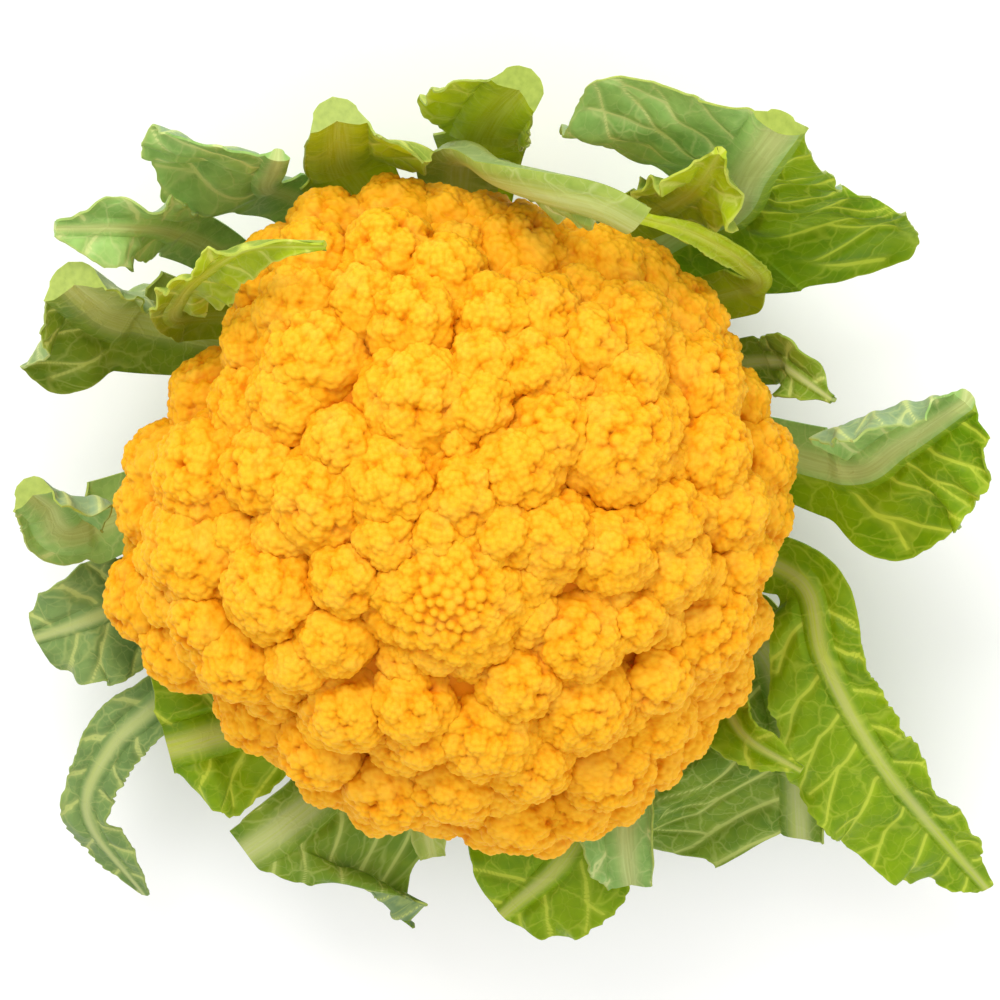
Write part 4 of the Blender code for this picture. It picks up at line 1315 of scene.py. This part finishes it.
    @staticmethod
    def vein_line(start: float, sign: float, widest: float, random: np.random.Generator) -> Array:
        """One side vein, leaving the midrib forwards and straightening towards the margin."""
        steps = np.linspace(0.0, 1.0, 8)
        line = np.stack([start + widest * (0.62 * steps + 0.18 * steps**2), sign * widest * steps], axis=1)
        wobble = random.normal(0.0, 0.045 * widest, line.shape) * np.minimum(steps, 0.6)[:, None]
        return line + wobble

    @staticmethod
    def stretches(line: Array, first: float, last: float) -> list[tuple[Array, float, float]]:
        """A line cut into straight stretches that taper from the first half width to the last."""
        sizes = np.linspace(first, last, len(line))
        return [(np.array([a, b]), float(s), float(t))
                for a, b, s, t in zip(line, line[1:], sizes, sizes[1:])]

    def nearness(self, flat: Array, veins: list[tuple[Array, float, float]]) -> tuple[Array, Array]:
        """How far each point is from the nearest vein.

        Args:
            flat: points in the leaf's own flat measure.
            veins: stretches of vein.

        Returns:
            The distance in half widths of the vein, up to no_vein, and the distance in millimetres.
        """
        apart = np.full(len(flat), self.no_vein)
        nearest = np.full(len(flat), 99.0)
        for (start, end), first, last in veins:
            step = end - start
            share = np.clip(((flat - start) @ step) / max(float(step @ step), 1e-9), 0.0, 1.0)
            gap = np.linalg.norm(flat - start - share[:, None] * step, axis=1)
            half = np.maximum(first + (last - first) * share, self.least_vein)
            apart = np.minimum(apart, gap / half)
            nearest = np.minimum(nearest, gap * (0.75 / max(first, 0.35)))
        return apart, nearest

    def build_leaf(self, leaf: Leaf, number: int,
                   finishes: dict[LeafKind, tuple[bpy.types.Material, bpy.types.Material]],
                   cut: bpy.types.Material) -> bpy.types.Object:
        """Models one leaf and dresses it.

        Args:
            leaf: which leaf.
            number: its place in the list, which seeds its small differences.
            finishes: for each kind of leaf, the finish of the side towards the head and of the back.
            cut: the finish of its cut end.

        Returns:
            The leaf.
        """
        random = np.random.default_rng(self.seed + number)
        curve = self.midrib(leaf)
        length = float(np.linalg.norm(np.diff(curve, axis=0), axis=1).sum())
        widest = [max(widths) for widths in (leaf.left, leaf.right)]
        rib_steps = np.linspace(0.0, 1.0 / 3.0, 7)[:-1]
        left_steps = np.linspace(1.0 / 3.0, 1.0, max(int(widest[0] / self.spacing), 6))
        right_steps = np.linspace(1.0 / 3.0, 1.0, max(int(widest[1] / self.spacing), 6))
        columns = np.concatenate([-left_steps[::-1], -rib_steps[:0:-1], rib_steps, right_steps])
        rows = self.rows(leaf, curve, length)
        laid = self.sheet(leaf, rows, columns, length, random)
        points = laid["points"]
        flat = np.stack([laid["along"].ravel(), laid["across"].ravel()], axis=1)
        apart, nearest = self.nearness(flat, self.veins(leaf, length, random))
        apart = apart.reshape(points.shape[:2])
        nearest = self.blurred(nearest.reshape(points.shape[:2]), 2)
        across = np.abs(laid["across"])
        begun = soft_step(laid["free"], 0.02, 0.15)
        outside = soft_step(across - laid["rib"], -0.5, 2.0) * begun
        normal = unit(np.cross(np.gradient(points, axis=1), np.gradient(points, axis=0)))
        swell = self.pucker * (1 - np.exp(-((nearest / self.pucker_reach) ** 2)))
        fine = (np.sin(laid["along"] / 2.3 + 2 * np.sin(laid["across"] / 3.1))
                * np.sin(laid["across"] / 2.7 + number))
        crimp = (leaf.crinkle * laid["share"] ** 2 * np.minimum(laid["width"] / 8.0, 1.0)
                 * np.sin(laid["along"] / 2.6 + 3 * np.sin(laid["along"] / 9.0) + number))
        edge_calm = soft_step(laid["width"], 1.0, 6.0)
        broad = (np.sin(laid["along"] / 5.1 + 1.3 * np.sin(laid["across"] / 7.0) + number)
                 * np.cos(laid["across"] / 5.6 + 1.2 * np.sin(laid["along"] / 8.0)))
        aside = np.minimum(across / laid["rib"], 1.0)
        ridge = self.rib_rise * laid["rib"] * np.sqrt(1 - aside**2) * soft_step(laid["free"], 0.0, 0.1)
        bent = (swell + 0.1 * fine + self.crumple * broad) * outside * edge_calm + crimp * outside + ridge
        points = points + normal * bent[:, :, None]
        columns_count, rows_count = len(columns), len(rows)
        deselect_all()
        bpy.ops.mesh.primitive_grid_add(x_subdivisions=columns_count - 1, y_subdivisions=rows_count - 1,
                                        size=1.0)
        piece = bpy.context.object
        piece.name = f"{leaf.name}_leaf"
        grid = points_of(piece.data)
        column = np.rint((grid[:, 0] + 0.5) * (columns_count - 1)).astype(int)
        row = np.rint((grid[:, 1] + 0.5) * (rows_count - 1)).astype(int)
        set_points(piece.data, points[row, column] * MM)
        rib_tone = (1 - soft_step(across / laid["rib"], 0.15, 0.85)) * np.where(laid["free"] > 0, 1.0, 0.9)
        joined = soft_step(across - laid["rib"], -1.4, 0.0) * begun
        store(piece.data, "vein", (apart + self.no_vein * (1 - joined))[row, column])
        store(piece.data, "rib", (0.92 * rib_tone)[row, column])
        store(piece.data, "margin", (0.6 * soft_step((1 - laid["share"]) * laid["width"], 0.9, 0.2)
                                     * outside)[row, column])
        place = np.stack([laid["along"], laid["across"], np.full(across.shape, number * 50.0)], axis=2)
        store_vectors(piece.data, "leaf", place[row, column])
        self.thicken(piece, laid["thickness"][row, column], leaf.rib[1] > 4)
        wings = (leaf.left_kind or leaf.kind, leaf.right_kind or leaf.kind)
        for finish in (*finishes[leaf.kind], cut, finishes[wings[0]][0], finishes[wings[1]][0]):
            piece.data.materials.append(finish)
        deselect_all()
        piece.select_set(True)
        bpy.context.view_layer.objects.active = piece
        bpy.ops.object.modifier_apply(modifier="Thickness")
        self.dress_wings(piece)
        bpy.ops.object.shade_smooth_by_angle(angle=math.radians(50))
        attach(piece, "root")
        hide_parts(leaf.node())
        log.info("%s: %d faces", piece.name, len(piece.data.polygons))
        return piece

    @staticmethod
    def blurred(values: Array, times: int) -> Array:
        """Evens out the values of a grid with those of their neighbours."""
        for _ in range(times):
            for axis in (0, 1):
                padded = np.pad(values, [(1, 1) if axis == side else (0, 0) for side in (0, 1)], mode="edge")
                ahead, behind = np.roll(padded, -1, axis), np.roll(padded, 1, axis)
                mixed = 0.5 * padded + 0.25 * (ahead + behind)
                values = mixed[1:-1] if axis == 0 else mixed[:, 1:-1]
        return values

    @staticmethod
    def dress_wings(piece: bpy.types.Object) -> None:
        """Gives the two wings' inner faces, outside the midrib, their own finishes."""
        place = piece.data.attributes["leaf"].data
        rib = piece.data.attributes["rib"].data
        for face in piece.data.polygons:
            corner = face.vertices[0]
            if face.material_index == 0 and rib[corner].value < 0.3:
                face.material_index = 3 if place[corner].vector.y < 0 else 4

    @staticmethod
    def thicken(piece: bpy.types.Object, thickness: Array, cut: bool) -> None:
        """Gives a leaf its thickness behind, most at the midrib, with its own finish behind.

        Args:
            piece: the leaf.
            thickness: how thick it is at each vertex.
            cut: whether its rim shows cut flesh.
        """
        group = piece.vertex_groups.new(name="thickness")
        thickest = float(thickness.max())
        steps = 64
        for step in range(1, steps + 1):
            near = np.flatnonzero(np.rint(thickness / thickest * steps).astype(int) == step)
            if len(near):
                group.add(near.tolist(), step / steps, "REPLACE")
        shell = piece.modifiers.new("Thickness", "SOLIDIFY")
        shell.thickness = thickest * MM
        shell.offset = -1.0
        shell.vertex_group = group.name
        shell.material_offset = 1
        shell.material_offset_rim = 2 if cut else 0

    def build(self) -> list[bpy.types.Object]:
        """Models every leaf and dresses it."""
        finishes = {kind: (kind.value.build(False), kind.value.build(True)) for kind in LeafKind}
        cut = StalkFinish("#98A83C", "#84962C").build("cut leaf rib")
        return [self.build_leaf(leaf, number, finishes, cut)
                for number, leaf in enumerate(self.leaves)]


@dataclass
class Studio:
    """The pale floor, the soft light and the camera at the photograph's angle.

    lamps gives each lamp's name, its place and size in metres, and its power in watts. floor_size and
    aim_height are in metres too.
    """

    floor_size: float = 4.0
    floor_colour: str = "#FAFAF8"
    lamps: tuple[tuple[str, tuple[float, float, float], float, float], ...] = (
        ("key", (-0.25, 0.95, 0.8), 0.6, 10.0), ("fill", (0.9, -0.5, 0.9), 1.2, 2.5))
    aim_height: float = 0.08
    sensor: float = 36.0
    view: View = field(default_factory=View)

    def build_floor(self) -> None:
        """Lays the floor under the stump."""
        deselect_all()
        bpy.ops.mesh.primitive_plane_add(size=self.floor_size, location=(0.0, 0.0, 0.0))
        floor = bpy.context.object
        floor.name = "floor"
        material, _, shader, _ = new_material("pale studio paper")
        shader.inputs["Base Color"].default_value = linear(self.floor_colour)
        shader.inputs["Roughness"].default_value = 0.9
        shader.inputs["Specular IOR Level"].default_value = 0.1
        floor.data.materials.append(material)

    def build_light(self) -> None:
        """Sets a bright even sky with a large soft lamp from behind the head."""
        world = bpy.data.worlds.new("studio sky")
        world.use_nodes = True
        background = world.node_tree.nodes["Background"]
        background.inputs[0].default_value = (1.0, 1.0, 1.0, 1.0)
        background.inputs[1].default_value = 1.0
        bpy.context.scene.world = world
        for name, place, size, power in self.lamps:
            light = bpy.data.lights.new(name, "AREA")
            light.size = size
            light.energy = power
            lamp = bpy.data.objects.new(name, light)
            lamp.location = place
            aim = Vector((0.0, 0.0, self.aim_height)) - Vector(place)
            lamp.rotation_euler = aim.to_track_quat("-Z", "Y").to_euler()
            bpy.context.scene.collection.objects.link(lamp)

    def build_camera(self) -> None:
        """Sets the camera where the photograph was taken from."""
        view = self.view
        lens = bpy.data.cameras.new("camera")
        lens.sensor_width = self.sensor
        lens.lens = self.sensor * view.distance / (view.pixels * view.scale)
        lens.clip_start = 0.01
        camera = bpy.data.objects.new("camera", lens)
        bpy.context.scene.collection.objects.link(camera)
        camera.location = view.eye() * MM
        camera.rotation_euler = Matrix([tuple(axis) for axis in view.axes()]).transposed().to_euler()
        bpy.context.scene.camera = camera

    def build(self) -> None:
        """Sets up the whole studio."""
        self.build_floor()
        self.build_light()
        self.build_camera()
        bpy.context.scene.view_settings.view_transform = "Standard"


def main() -> None:
    """Builds the studio, the head, the stump and the leaves, in that order."""
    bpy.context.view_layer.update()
    Studio().build()
    log.info("studio is set")
    Curd().build()
    Stump().build()
    slots = {part["node"]: part["material_slot"] for part in frame["record"]["subparts"]}
    Foliage(slots).build()


if __name__ == "__main__":
    main()
